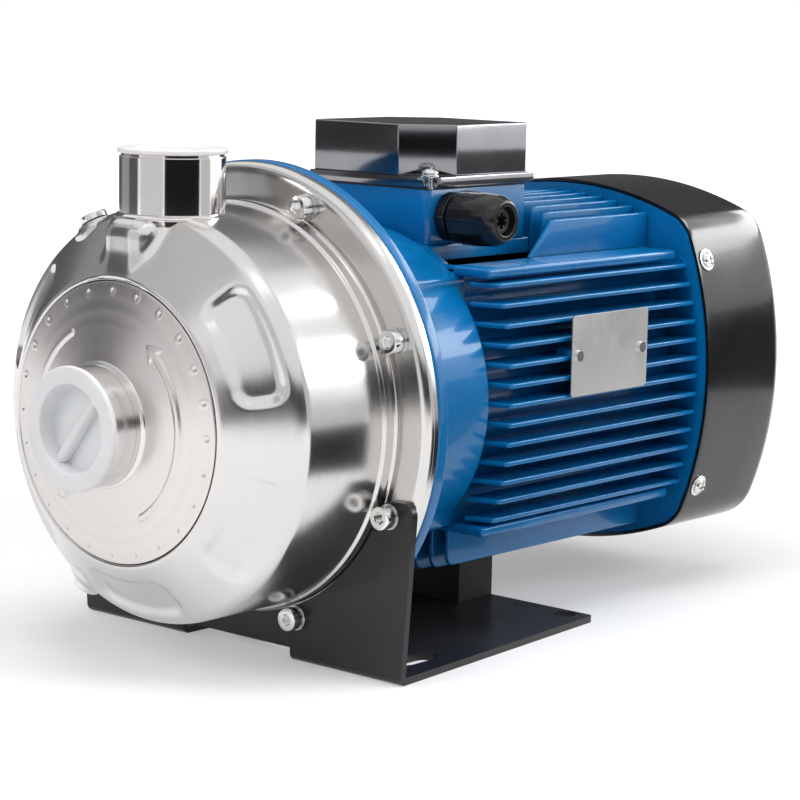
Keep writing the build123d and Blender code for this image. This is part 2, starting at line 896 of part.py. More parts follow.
with BuildPart() as motor_housing:
    revolve(
        section(
            (0, 0),
            (0, motor_flange_r),
            (motor_flange, motor_flange_r),
            (motor_flange, flare_r),
            (flare_back, bell_r),
            (bell_back, bell_back_r),
            (bell_back, 0),
        ),
        axis=shaft_axis,
    )
    # Corner blocks of the bell, with a roof that runs to the front of the terminal box
    with BuildSketch(cross(motor_flange)):
        with BuildLine():
            Polyline(
                (roof_ridge_half, roof_ridge_z),
                (box_half_width, pedestal_top_z),
                (block_half_width - block_draft, block_shoulder_z),
                (block_half_width, block_side_z),
                (block_half_width, -block_under_z),
                (-block_half_width, -block_under_z),
                (-block_half_width, block_side_z),
                (-block_half_width + block_draft, block_shoulder_z),
                (-box_half_width, pedestal_top_z),
                (-roof_ridge_half, roof_ridge_z),
                close=True,
            )
        make_face()
    extrude(amount=block_back - motor_flange)
    # Barrel core between the fins, wide and flat above and below
    with BuildSketch(cross(bell_back)):
        Circle(barrel_r)
        Rectangle(2 * core_half_width, 2 * core_half_height)
    extrude(amount=barrel_back - bell_back)
    # Ledges along the four corners
    for up in (1, -1):
        with BuildSketch(cross(bell_back)) as ledge:
            with Locations((0, up * (core_half_height - ledge_thickness / 2))):
                RectangleRounded(2 * ledge_half_width, ledge_thickness, ledge_round)
        extrude(amount=ledge_back - bell_back)
    # Side fins, cut back at an angle beside the bell
    for number in range(side_fin_count):
        height = side_fin_pitch * (number - (side_fin_count - 1) / 2)
        reach = envelope(height)
        tip_front = bell_back + side_fin_slant
        with BuildSketch(level(height - fin_sheet / 2)):
            with BuildLine():
                Polyline(
                    (bell_back, -barrel_r),
                    (tip_front, -reach),
                    (barrel_back, -reach),
                    (barrel_back, reach),
                    (tip_front, reach),
                    (bell_back, barrel_r),
                    close=True,
                )
            make_face()
        extrude(amount=fin_sheet)
    # Top and bottom fins, the top ones starting behind the terminal box
    for number in range(top_fin_count):
        across = top_fin_pitch * (number + 0.5)
        reach = envelope(across)
        front = inner_fin_front
        slope = 0.0
        if number == top_fin_count - 2:
            front = second_fin_front
        if number == top_fin_count - 1:
            front = outer_fin_front
            slope = (reach - core_half_height) / tan(radians(outer_fin_slope))
        for hand in (1, -1):
            with BuildSketch(side(hand * across - fin_sheet / 2)) as fin:
                with BuildLine():
                    Polyline(
                        (front, 0),
                        (front, core_half_height),
                        (front + slope, reach),
                        (barrel_back, reach),
                        (barrel_back, -reach),
                        (bottom_fin_front, -reach),
                        (bottom_fin_front, 0),
                        close=True,
                    )
                make_face()
                outer = [v for v in fin.vertices() if abs(v.Y) > core_half_height + fin_sheet]
                fillet(outer, top_fin_round)
            extrude(amount=-fin_sheet)
    # Flat seat of the terminal box
    with BuildSketch(level(0)):
        with Locations(((box_front + pedestal_back) / 2, 0)):
            Rectangle(pedestal_back - box_front, 2 * box_half_width)
    extrude(amount=pedestal_top_z)
    with BuildSketch(level(pedestal_top_z)):
        with Locations((box_middle, 0)):
            Rectangle(box_length, 2 * box_half_width)
    extrude(amount=box_top_z - pedestal_top_z, mode=Mode.SUBTRACT)
    # Posts that carry the nameplate
    with BuildSketch(side(label_post_foot)):
        with Locations(
            (label_front + label_post_inset, label_middle_z),
            (label_front + label_length - label_post_inset, label_middle_z),
        ):
            Circle(label_post_r)
    extrude(amount=label_back - label_post_foot)
    with BuildSketch(side(label_back)):
        with Locations(
            (label_front + label_post_inset, label_middle_z),
            (label_front + label_length - label_post_inset, label_middle_z),
        ):
            Circle(label_screw_r + thread_gap)
    extrude(amount=-label_screw_length, mode=Mode.SUBTRACT)
    # Bores for the shaft, bearing, windings and stator
    recess = ((0, 0), (0, bell_recess_r), (bell_recess, bell_recess_r), (bell_cavity, bell_cavity_r))
    cavity = section(*recess, (web_station, bell_cavity_r), (web_station, 0))
    revolve(cavity, axis=shaft_axis, mode=Mode.SUBTRACT)
    revolve(ring(web_station, front_bearing_station, 0, web_bore_r), axis=shaft_axis, mode=Mode.SUBTRACT)
    bearing_seat_r = front_bearing_r + running_gap
    bearing_seat = ring(front_bearing_station, bearing_hub_back, 0, bearing_seat_r)
    revolve(bearing_seat, axis=shaft_axis, mode=Mode.SUBTRACT)
    hub_r = bearing_seat_r + bearing_hub_wall
    web_back = web_station + web_sheet
    bore = ((web_back, hub_r), (bearing_hub_back, hub_r), (bearing_hub_back, 0), (barrel_back, 0))
    stator_bore = section(*bore, (barrel_back, stator_r), (web_back, stator_r))
    revolve(stator_bore, axis=shaft_axis, mode=Mode.SUBTRACT)
    with BuildSketch(level(pedestal_top_z)):
        with Locations((wire_way_station, 0)):
            Circle(wire_way_r)
    extrude(amount=-(pedestal_top_z - winding_outer_r), mode=Mode.SUBTRACT)
    # Tapped holes for the casing bolts and the end shield screws
    with BuildSketch(cross(0)):
        with bolt_places():
            Circle(bolt_r + thread_gap)
    extrude(amount=motor_flange, mode=Mode.SUBTRACT)
    with BuildSketch(cross(barrel_back)):
        with GridLocations(2 * shield_screw_y, 2 * shield_screw_z, 2, 2):
            Circle(shield_screw_r + thread_gap)
    extrude(amount=-shield_screw_length, mode=Mode.SUBTRACT)
keep(motor_housing, "motor_housing")

# Stator core and its two winding heads
with BuildPart() as stator_core:
    revolve(ring(stator_front, stator_back, stator_bore_r, stator_r - running_gap), axis=shaft_axis)
keep(stator_core, "stator_core")

with BuildPart() as windings:
    for front in (stator_front - winding_length, stator_back):
        head = ring(front, front + winding_length, winding_inner_r, winding_outer_r)
        revolve(head, axis=shaft_axis)
keep(windings, "windings")

# Rotor core with its cast end rings
with BuildPart() as rotor_core:
    rotor_bore_r = core_seat_r + running_gap
    rotor_r = stator_bore_r - air_gap
    revolve(ring(stator_front, stator_back, rotor_bore_r, rotor_r), axis=shaft_axis)
    for front in (stator_front - end_ring_length, stator_back):
        revolve(ring(front, front + end_ring_length, end_ring_inner_r, rotor_r), axis=shaft_axis)
keep(rotor_core, "rotor_core")


def bearing(front, width, bore_r, outer_r):
    # Deep groove ball bearing, with its shields set back between the rings
    with BuildPart() as rings:
        revolve(ring(front, front + width, bore_r, outer_r), axis=shaft_axis)
        for face in (front, front + width - bearing_shield_depth):
            groove = ring(face, face + bearing_shield_depth, bore_r + bearing_race, outer_r - bearing_race)
            revolve(groove, axis=shaft_axis, mode=Mode.SUBTRACT)
    return rings


front_bearing = bearing(front_bearing_station, front_bearing_width, front_bearing_bore_r, front_bearing_r)
keep(front_bearing, "front_bearing")
rear_bearing = bearing(rear_bearing_station, rear_bearing_width, rear_bearing_bore_r, rear_bearing_r)
keep(rear_bearing, "rear_bearing")

# Wave spring that preloads the rear bearing
with BuildPart() as bearing_spring:
    spring_outer_r = rear_bearing_r - running_gap
    spring_inner_r = rear_bearing_r - wave_spring_width
    revolve(ring(rear_bearing_back, shield_lip_front, spring_inner_r, spring_outer_r), axis=shaft_axis)
keep(bearing_spring, "bearing_spring")

# Rear shield: a round cover with a bearing hub and four ears for the fan cover
with BuildPart() as rear_shield:
    hub_inner_r = rear_bearing_r + running_gap
    hub_outer_r = hub_inner_r + shield_hub_wall
    lip_back = shield_lip_front + shield_lip
    with BuildSketch(cross(barrel_back)):
        Circle(shield_r)
        for hand in (1, -1):
            SlotCenterPoint((0, 0), (hand * shield_ear_y, shield_ear_z), 2 * shield_ear_r)
    extrude(amount=shield_sheet)
    revolve(ring(rear_bearing_station, lip_back, 0, hub_outer_r), axis=shaft_axis)
    spigot_r = stator_r - running_gap
    spigot_front = barrel_back - shield_spigot
    revolve(ring(spigot_front, barrel_back, spigot_r - shield_sheet, spigot_r), axis=shaft_axis)
    for across in (1, -1):
        for up in (1, -1):
            with BuildSketch(cover_plane(across, up, cover_sheet + loose_gap)):
                Circle(shield_ear_r)
            extrude(amount=-cover_lug_length)
            with BuildSketch(cover_plane(across, up, cover_sheet + loose_gap)):
                Circle(cover_screw_r + thread_gap)
            extrude(amount=-cover_screw_length, mode=Mode.SUBTRACT)
    bearing_room = ring(rear_bearing_station, shield_lip_front, 0, hub_inner_r)
    revolve(bearing_room, axis=shaft_axis, mode=Mode.SUBTRACT)
    revolve(ring(shield_lip_front, lip_back, 0, shield_lip_r), axis=shaft_axis, mode=Mode.SUBTRACT)
    with BuildSketch(cross(barrel_back)):
        with GridLocations(2 * shield_screw_y, 2 * shield_screw_z, 2, 2):
            Circle(shield_screw_r + bolt_clearance)
    extrude(amount=shield_sheet, mode=Mode.SUBTRACT)
keep(rear_shield, "rear_shield")

# Screws of the rear shield
with BuildPart() as shield_screws:
    with BuildSketch(cross(barrel_back + shield_sheet)):
        with GridLocations(2 * shield_screw_y, 2 * shield_screw_z, 2, 2):
            Circle(small_head_r)
    extrude(amount=small_head)
    with BuildSketch(cross(barrel_back + shield_sheet)):
        with GridLocations(2 * shield_screw_y, 2 * shield_screw_z, 2, 2):
            Circle(shield_screw_r)
    extrude(amount=-shield_screw_length)
keep(shield_screws, "shield_screws")

# Fan: hub, disc and straight blades
with BuildPart() as fan:
    revolve(ring(fan_front, fan_back, 0, fan_hub_r), axis=shaft_axis)
    revolve(ring(fan_disc_station, fan_disc_station + blade_sheet, 0, fan_r), axis=shaft_axis)
    blade_length = fan_r - blade_sheet
    with BuildSketch(cross(fan_disc_station)):
        with PolarLocations(blade_length / 2, fan_blades):
            Rectangle(blade_length, blade_sheet)
    extrude(amount=fan_blade_width)
    with BuildSketch(cross(fan_front)):
        Circle(fan_seat_r + running_gap)
    extrude(amount=fan_back - fan_front, mode=Mode.SUBTRACT)
keep(fan, "fan")

# Retaining ring behind the fan
with BuildPart() as fan_circlip:
    circlip_bore_r = fan_seat_r - circlip_depth + running_gap
    with BuildSketch(cross(fan_back)):
        Circle(circlip_r)
        Circle(circlip_bore_r, mode=Mode.SUBTRACT)
        with Locations((0, -circlip_r)):
            Rectangle(circlip_bore_r, 2 * circlip_bore_r, mode=Mode.SUBTRACT)
    extrude(amount=circlip_sheet)
keep(fan_circlip, "fan_circlip")


def cover_form(inset):
    # Bulging square hood with a rounded rear edge, or its inside when inset by the sheet
    with BuildPart() as form:
        with BuildSketch(cross(cover_front)):
            add(squared_circle(cover_half - inset, cover_arc_r - inset, cover_corner_r - inset))
        extrude(amount=cover_back - cover_front - inset)
        fillet(form.faces().sort_by(Axis.X)[-1].edges(), cover_round - inset)
    return form.part


# Fan cover: pressed hood with rings of air slots in its back
with BuildPart() as fan_cover:
    add(cover_form(0))
    add(cover_form(cover_sheet), mode=Mode.SUBTRACT)
    with BuildSketch(cross(cover_back)):
        for number in range(grille_rings):
            inner_r = grille_inner_r + number * grille_pitch
            with PolarLocations(0, grille_sectors, start_angle=number * 180 / grille_sectors):
                with BuildLine(mode=Mode.PRIVATE) as opening:
                    inner = CenterArc((0, 0), inner_r, 0, grille_arc)
                    outer = CenterArc((0, 0), inner_r + grille_slot, 0, grille_arc)
                    Line(inner @ 0, outer @ 0)
                    Line(inner @ 1, outer @ 1)
                add(make_face(opening.edges(), mode=Mode.PRIVATE))
    extrude(amount=-cover_sheet, mode=Mode.SUBTRACT)
    for across in (1, -1):
        for up in (1, -1):
            with BuildSketch(cover_plane(across, up, 0)):
                Circle(cover_screw_r + bolt_clearance)
            extrude(amount=-2 * cover_sheet, mode=Mode.SUBTRACT)
keep(fan_cover, "fan_cover")

# Screws of the fan cover
with BuildPart() as fan_cover_screws:
    for across in (1, -1):
        for up in (1, -1):
            with BuildSketch(cover_plane(across, up, 0)):
                Circle(small_head_r)
            extrude(amount=small_head)
            with BuildSketch(cover_plane(across, up, 0)):
                Circle(cover_screw_r)
            extrude(amount=-cover_screw_length)
keep(fan_cover_screws, "fan_cover_screws")

# Terminal box: an open tray on the pedestal with four screw posts
with BuildPart() as terminal_box:
    with BuildSketch(level(pedestal_top_z)):
        with Locations((box_middle, 0)):
            RectangleRounded(box_length, 2 * box_half_width, box_corner_r)
    extrude(amount=box_top_z - pedestal_top_z)
    with BuildSketch(level(box_floor_z)):
        with Locations((box_middle, 0)):
            Rectangle(box_length - 2 * box_wall, 2 * (box_half_width - box_wall))
    extrude(amount=box_top_z - box_floor_z, mode=Mode.SUBTRACT)
    with BuildSketch(level(box_floor_z)):
        with Locations((box_middle, 0)):
            with GridLocations(2 * lid_screw_x, 2 * lid_screw_y, 2, 2):
                Circle(lid_post_r)
    extrude(amount=box_top_z - box_floor_z)
    with BuildSketch(level(pedestal_top_z)):
        with Locations((box_middle, 0)):
            Rectangle(box_length, 2 * box_half_width)
    extrude(amount=box_top_z - pedestal_top_z, mode=Mode.INTERSECT)
    with BuildSketch(level(box_top_z)):
        with Locations((box_middle, 0)):
            with GridLocations(2 * lid_screw_x, 2 * lid_screw_y, 2, 2):
                Circle(lid_screw_r + thread_gap)
    extrude(amount=-lid_screw_length, mode=Mode.SUBTRACT)
    with BuildSketch(side(box_half_width)):
        with Locations((gland_station, gland_z)):
            Circle(gland_thread_r)
    extrude(amount=-box_wall, mode=Mode.SUBTRACT)
    with BuildSketch(level(box_floor_z)):
        with Locations((wire_way_station, 0)):
            Circle(wire_way_r)
    extrude(amount=-box_wall, mode=Mode.SUBTRACT)
keep(terminal_box, "terminal_box")

# Gasket between box and lid, wide enough at the corners for the posts
with BuildPart() as lid_gasket:
    with BuildSketch(level(box_top_z)):
        with Locations((box_middle, 0)):
            Rectangle(box_length, 2 * box_half_width)
            Rectangle(box_length - 2 * box_wall, 2 * (box_half_width - box_wall), mode=Mode.SUBTRACT)
            with GridLocations(2 * lid_screw_x, 2 * lid_screw_y, 2, 2):
                Circle(lid_post_r)
            Rectangle(box_length, 2 * box_half_width, mode=Mode.INTERSECT)
            with GridLocations(2 * lid_screw_x, 2 * lid_screw_y, 2, 2):
                Circle(lid_screw_r + thread_gap, mode=Mode.SUBTRACT)
    extrude(amount=gasket)
keep(lid_gasket, "lid_gasket")

# Lid: an eight-sided hood on a flange with open notches at the corners
with BuildPart() as terminal_lid:
    notch_reach = lid_screw_inset * sqrt(2)
    with BuildSketch(level(lid_flange_z)):
        with Locations((box_middle, 0)):
            Rectangle(lid_flange_length, 2 * lid_flange_half_width)
        for along in (1, -1):
            for across in (1, -1):
                notch_x = box_middle + along * (lid_screw_x + lid_screw_inset / 2)
                notch_y = across * (lid_screw_y + lid_screw_inset / 2)
                with Locations((notch_x, notch_y)):
                    notch_turn = 45 * along * across
                    SlotCenterToCenter(notch_reach, 2 * lid_notch_r, rotation=notch_turn, mode=Mode.SUBTRACT)
    extrude(amount=lid_flange)
    hood = lid_top_z - lid_hood_z
    with BuildSketch(level(lid_hood_z)) as octagon:
        with Locations((box_middle - lid_shift, 0)):
            Rectangle(lid_length, 2 * lid_half_width)
        chamfer(octagon.vertices(), lid_corner)
    extrude(amount=hood)
    fillet(terminal_lid.faces().sort_by(Axis.Z)[-1].edges(), lid_edge_round)
    with BuildSketch(level(lid_flange_z)) as inside:
        with Locations((box_middle - lid_shift, 0)):
            Rectangle(lid_length - 2 * lid_wall, 2 * (lid_half_width - lid_wall))
        chamfer(inside.vertices(), lid_corner)
    extrude(amount=hood + lid_flange - lid_wall, mode=Mode.SUBTRACT)
keep(terminal_lid, "terminal_lid")

# Screws of the lid and their washers
with BuildPart() as lid_screws:
    head_z = lid_hood_z + small_washer
    with BuildSketch(level(head_z)):
        with Locations((box_middle, 0)):
            with GridLocations(2 * lid_screw_x, 2 * lid_screw_y, 2, 2):
                Circle(small_head_r)
    extrude(amount=small_head)
    with BuildSketch(level(head_z)):
        with Locations((box_middle, 0)):
            with GridLocations(2 * lid_screw_x, 2 * lid_screw_y, 2, 2):
                Circle(lid_screw_r)
    extrude(amount=-(head_z - box_top_z + lid_screw_length))
keep(lid_screws, "lid_screws")

with BuildPart() as lid_screw_washers:
    with BuildSketch(level(lid_hood_z)):
        with Locations((box_middle, 0)):
            with GridLocations(2 * lid_screw_x, 2 * lid_screw_y, 2, 2):
                Circle(small_washer_r)
                Circle(lid_screw_r + thread_gap, mode=Mode.SUBTRACT)
    extrude(amount=small_washer)
keep(lid_screw_washers, "lid_screw_washers")

# Terminal board with its studs and bridging links
with BuildPart() as terminal_board:
    with BuildSketch(level(box_floor_z)):
        with Locations((box_middle, 0)):
            RectangleRounded(board_length, board_width, board_corner_r)
            with GridLocations(stud_pitch, stud_pitch, 3, 2):
                Circle(stud_r + thread_gap, mode=Mode.SUBTRACT)
    extrude(amount=board_height)
keep(terminal_board, "terminal_board")

with BuildPart() as terminal_studs:
    with BuildSketch(level(box_floor_z)):
        with Locations((box_middle, 0)):
            with GridLocations(stud_pitch, stud_pitch, 3, 2):
                Circle(stud_r)
    extrude(amount=board_height + stud_height)
keep(terminal_studs, "terminal_studs")

with BuildPart() as terminal_links:
    with BuildSketch(level(box_floor_z + board_height)):
        with Locations((box_middle, 0)):
            with GridLocations(stud_pitch, 0, 3, 1):
                SlotCenterToCenter(stud_pitch, 2 * link_r, rotation=90)
            with GridLocations(stud_pitch, stud_pitch, 3, 2):
                Circle(stud_r + thread_gap, mode=Mode.SUBTRACT)
    extrude(amount=link_sheet)
keep(terminal_links, "terminal_links")

# Cable gland: body screwed into the box wall, clamping nut and rubber seal
gland_axis = Axis((joint_x + gland_station, 0, shaft_height + gland_z), (0, -1, 0))
gland_profile = Plane(origin=gland_axis.position, x_dir=(0, -1, 0), z_dir=(1, 0, 0))


def gland_section(*points):
    # Closed profile beside the axis of the gland: distance outwards, radius
    with BuildSketch(gland_profile) as profile:
        with BuildLine():
            Polyline(*points, close=True)
        make_face()
    return profile.sketch


with BuildPart() as gland_body:
    thread_end = box_half_width - box_wall
    hex_end = box_half_width + gland_hex_width
    thread_r = gland_thread_r - thread_gap
    revolve(
        gland_section(
            (thread_end, gland_bore_r),
            (gland_neck_end, gland_bore_r),
            (gland_neck_end, gland_neck_r),
            (box_half_width, gland_neck_r),
            (box_half_width, thread_r),
            (thread_end, thread_r),
        ),
        axis=gland_axis,
    )
    with BuildSketch(side(box_half_width)):
        with Locations((gland_station, gland_z)):
            RegularPolygon(gland_hex_r, 6)
            Circle(gland_neck_r, mode=Mode.SUBTRACT)
    extrude(amount=gland_hex_width)
keep(gland_body, "gland_body")

with BuildPart() as gland_nut:
    nut_bore_r = gland_neck_r + thread_gap
    revolve(
        gland_section(
            (gland_nut_front, nut_bore_r),
            (gland_neck_end + gland_nut_lip, nut_bore_r),
            (gland_end, gland_mouth_r),
            (gland_end, gland_mouth_r + gland_nut_lip),
            (gland_nut_dome, gland_nut_r),
            (gland_nut_front, gland_nut_r),
        ),
        axis=gland_axis,
    )
    dome_edge = gland_nut.edges().filter_by(GeomType.CIRCLE).group_by(Axis.Y)
    fillet(dome_edge[1], gland_nut_round)
    with BuildSketch(side(gland_nut_front)):
        with Locations((gland_station, gland_z)):
            with PolarLocations(gland_nut_r, gland_flute_count):
                Circle(gland_flute_r)
    extrude(amount=gland_nut_dome - gland_nut_front, mode=Mode.SUBTRACT)
keep(gland_nut, "gland_nut")

with BuildPart() as gland_seal:
    seal_front = gland_neck_end - gland_hex_width
    seal_end = gland_end - gland_nut_lip
    seal_r = gland_mouth_r - loose_gap
    revolve(
        gland_section(
            (seal_front, gland_cable_r),
            (seal_end, gland_cable_r),
            (seal_end, seal_r),
            (seal_front, seal_r),
        ),
        axis=gland_axis,
    )
keep(gland_seal, "gland_seal")

# Nameplate, left bare, and its screws
with BuildPart() as nameplate:
    with BuildSketch(side(label_back)):
        with Locations((label_front + label_length / 2, label_middle_z)):
            RectangleRounded(label_length, label_height, label_corner_r)
        with Locations(
            (label_front + label_post_inset, label_middle_z),
            (label_front + label_length - label_post_inset, label_middle_z),
        ):
            Circle(label_screw_r + thread_gap, mode=Mode.SUBTRACT)
    extrude(amount=label_sheet)
keep(nameplate, "nameplate")

with BuildPart() as nameplate_screws:
    for place in (label_front + label_post_inset, label_front + label_length - label_post_inset):
        with BuildSketch(side(label_face)):
            with Locations((place, label_middle_z)):
                Circle(label_head_r)
        extrude(amount=label_head)
        with BuildSketch(side(label_face)):
            with Locations((place, label_middle_z)):
                Circle(label_screw_r)
        extrude(amount=-label_screw_length)
keep(nameplate_screws, "nameplate_screws")

# Base: one bent sheet, its upright cradling the casing in front of the flange
with BuildPart() as base_bracket:
    with BuildSketch(cross(-upright_front)) as upright:
        with BuildLine():
            Polyline(
                (base_front_half, -shaft_height),
                (lug_half, -lug_top),
                (-lug_half, -lug_top),
                (-base_front_half, -shaft_height),
                close=True,
            )
        make_face()
        Circle(cradle_r, mode=Mode.SUBTRACT)
        fillet([v for v in upright.vertices() if v.Y > -lug_top - base_sheet], lug_round)
        with bolt_places():
            Circle(bolt_r + bolt_clearance, mode=Mode.SUBTRACT)
    extrude(amount=base_sheet)
    with BuildSketch(level(-shaft_height)) as plate:
        with BuildLine():
            Polyline(
                (-upright_front, -base_front_half),
                (base_back_station, -base_back_half),
                (base_back_station, base_back_half),
                (-upright_front, base_front_half),
                close=True,
            )
        make_face()
        fillet([v for v in plate.vertices() if v.X > 0], base_corner_r)
        with Locations((foot_slot_station, foot_slot_y), (foot_slot_station, -foot_slot_y)):
            SlotOverall(foot_slot_length, 2 * foot_slot_r, mode=Mode.SUBTRACT)
        with Locations((rear_hole_station, rear_hole_y), (rear_hole_station, -rear_hole_y)):
            Circle(rear_hole_r, mode=Mode.SUBTRACT)
        with Locations((foot_block_middle, foot_screw_y), (foot_block_middle, -foot_screw_y)):
            Circle(foot_screw_r + thread_gap, mode=Mode.SUBTRACT)
    extrude(amount=base_sheet)
    front_edges = base_bracket.edges().filter_by(Axis.Y).group_by(Axis.X)[0]
    fillet(front_edges.sort_by(Axis.Z)[0], bend_r)
    with BuildSketch(level(-shaft_height)):
        with Locations((foot_block_middle, foot_screw_y), (foot_block_middle, -foot_screw_y)):
            Circle(foot_screw_head_r + thread_gap)
    extrude(amount=base_sheet - countersink_land, taper=foot_screw_taper, mode=Mode.SUBTRACT)
    with BuildSketch(level(-shaft_height)) as relief:
        with Locations((-upright_front, 0)):
            Rectangle(2 * relief_depth, 2 * relief_half_width)
        fillet(relief.vertices(), relief_round)
    extrude(amount=relief_height, mode=Mode.SUBTRACT)
keep(base_bracket, "base_bracket")

# Foot block between the base and the bottom fins, and its countersunk screws
with BuildPart() as foot_block:
    block_bottom_z = base_sheet - shaft_height
    block_top_z = -envelope(top_fin_pitch / 2)
    with BuildSketch(level(block_bottom_z)):
        with Locations((foot_block_middle, 0)):
            Rectangle(foot_block_length, 2 * foot_block_half_width)
        with Locations((foot_block_middle, foot_screw_y), (foot_block_middle, -foot_screw_y)):
            Circle(foot_screw_r + thread_gap, mode=Mode.SUBTRACT)
    extrude(amount=block_top_z - block_bottom_z)
keep(foot_block, "foot_block")

with BuildPart() as foot_block_screws:
    with BuildSketch(level(-shaft_height)):
        with Locations((foot_block_middle, foot_screw_y), (foot_block_middle, -foot_screw_y)):
            Circle(foot_screw_head_r)
    extrude(amount=base_sheet - countersink_land, taper=foot_screw_taper)
    with BuildSketch(level(-shaft_height)):
        with Locations((foot_block_middle, foot_screw_y), (foot_block_middle, -foot_screw_y)):
            Circle(foot_screw_r)
    extrude(amount=foot_screw_length)
keep(foot_block_screws, "foot_block_screws")

# Casing bolts and washers: the upper four on the flange, the lower four on the upright
with BuildPart() as casing_bolts:
    for number in range(bolt_count):
        angle = radians(bolt_start + number * 360 / bolt_count)
        place = (bolt_circle_r * cos(angle), bolt_circle_r * sin(angle))
        seat = -upright_front if place[1] < -lug_top else -flange_face
        under_head = seat - bolt_washer - spring_washer
        with BuildSketch(cross(under_head)):
            with Locations(place):
                Circle(bolt_head_r)
        extrude(amount=-bolt_head)
        with BuildSketch(cross(under_head - bolt_head)):
            with Locations(place):
                RegularPolygon(bolt_key_r, 6)
        extrude(amount=bolt_key_depth, mode=Mode.SUBTRACT)
        with BuildSketch(cross(under_head)):
            with Locations(place):
                Circle(bolt_r)
        extrude(amount=motor_flange - under_head - thread_gap)
keep(casing_bolts, "casing_bolts")

with BuildPart() as bolt_washers:
    for number in range(bolt_count):
        angle = radians(bolt_start + number * 360 / bolt_count)
        place = (bolt_circle_r * cos(angle), bolt_circle_r * sin(angle))
        seat = -upright_front if place[1] < -lug_top else -flange_face
        with BuildSketch(cross(seat - bolt_washer)):
            with Locations(place):
                Circle(bolt_washer_r)
                Circle(bolt_r + thread_gap, mode=Mode.SUBTRACT)
        extrude(amount=bolt_washer)
keep(bolt_washers, "bolt_washers")

with BuildPart() as spring_washers:
    for number in range(bolt_count):
        angle = radians(bolt_start + number * 360 / bolt_count)
        place = (bolt_circle_r * cos(angle), bolt_circle_r * sin(angle))
        seat = -upright_front if place[1] < -lug_top else -flange_face
        with BuildSketch(cross(seat - bolt_washer)):
            with Locations(place):
                Circle(spring_washer_r)
                Circle(bolt_r + thread_gap, mode=Mode.SUBTRACT)
            with Locations((place[0], place[1] + spring_washer_r)):
                Rectangle(spring_washer_split, 2 * (spring_washer_r - bolt_r), mode=Mode.SUBTRACT)
        extrude(amount=-spring_washer)
keep(spring_washers, "spring_washers")
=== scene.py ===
import json
from math import asin, atan2, cos, hypot, pi, radians, sin, sqrt, tan

import bmesh
import bpy
from mathutils import Matrix, Vector


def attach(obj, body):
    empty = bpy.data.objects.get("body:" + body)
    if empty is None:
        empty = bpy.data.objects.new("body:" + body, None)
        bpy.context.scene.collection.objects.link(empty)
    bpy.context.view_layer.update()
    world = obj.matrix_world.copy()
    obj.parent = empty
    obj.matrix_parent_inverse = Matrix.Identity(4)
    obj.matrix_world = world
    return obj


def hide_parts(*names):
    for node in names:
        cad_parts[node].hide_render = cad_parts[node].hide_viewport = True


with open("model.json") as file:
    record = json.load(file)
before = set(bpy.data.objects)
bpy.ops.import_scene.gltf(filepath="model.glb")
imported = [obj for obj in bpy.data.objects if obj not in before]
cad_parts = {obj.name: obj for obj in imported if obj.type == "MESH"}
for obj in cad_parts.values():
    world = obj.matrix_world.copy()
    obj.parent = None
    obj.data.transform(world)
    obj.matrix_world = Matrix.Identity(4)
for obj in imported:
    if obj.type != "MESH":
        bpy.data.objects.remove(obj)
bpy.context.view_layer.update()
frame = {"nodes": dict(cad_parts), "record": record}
print("frame loaded")

# Pieces are modelled in millimetres, measured from the shaft axis at the joint between pump and motor
layout = {"jointX": -0.151, "axisZ": 0.122, "unit": 0.001}
place = Matrix.Translation((layout["jointX"], 0, layout["axisZ"])) @ Matrix.Scale(layout["unit"], 4)


# Finishes

class Wire:
    # An output socket that can be used in sums

    def __init__(self, nodes, socket):
        self.nodes = nodes
        self.socket = socket

    def maths(self, operation, first, second):
        return self.nodes.node("ShaderNodeMath", {"operation": operation}, {0: first, 1: second})

    def __add__(self, other):
        return self.maths("ADD", self, other)

    def __radd__(self, other):
        return self.maths("ADD", other, self)

    def __sub__(self, other):
        return self.maths("SUBTRACT", self, other)

    def __rsub__(self, other):
        return self.maths("SUBTRACT", other, self)

    def __mul__(self, other):
        return self.maths("MULTIPLY", self, other)

    def __rmul__(self, other):
        return self.maths("MULTIPLY", other, self)

    def __pow__(self, other):
        return self.maths("POWER", self, other)


class Nodes:
    # The nodes of a material or of the world

    def __init__(self, tree):
        self.tree = tree

    def node(self, kind, settings, inputs, output=0):
        made = self.tree.nodes.new(kind)
        for setting, value in settings.items():
            setattr(made, setting, value)
        for key, value in inputs.items():
            if isinstance(value, Wire):
                self.tree.links.new(value.socket, made.inputs[key])
            else:
                made.inputs[key].default_value = value
        return Wire(self, made.outputs[output])

    def seenRays(self):
        # 1 for what the camera sees, straight or in a reflection, and 0 for what only lights the pump
        path = self.node("ShaderNodeLightPath", {}, {}).socket.node
        seen = Wire(self, path.outputs["Is Camera Ray"])
        for ray in ("Is Glossy Ray", "Is Transmission Ray"):
            seen = seen.maths("MAXIMUM", seen, Wire(self, path.outputs[ray]))
        return seen


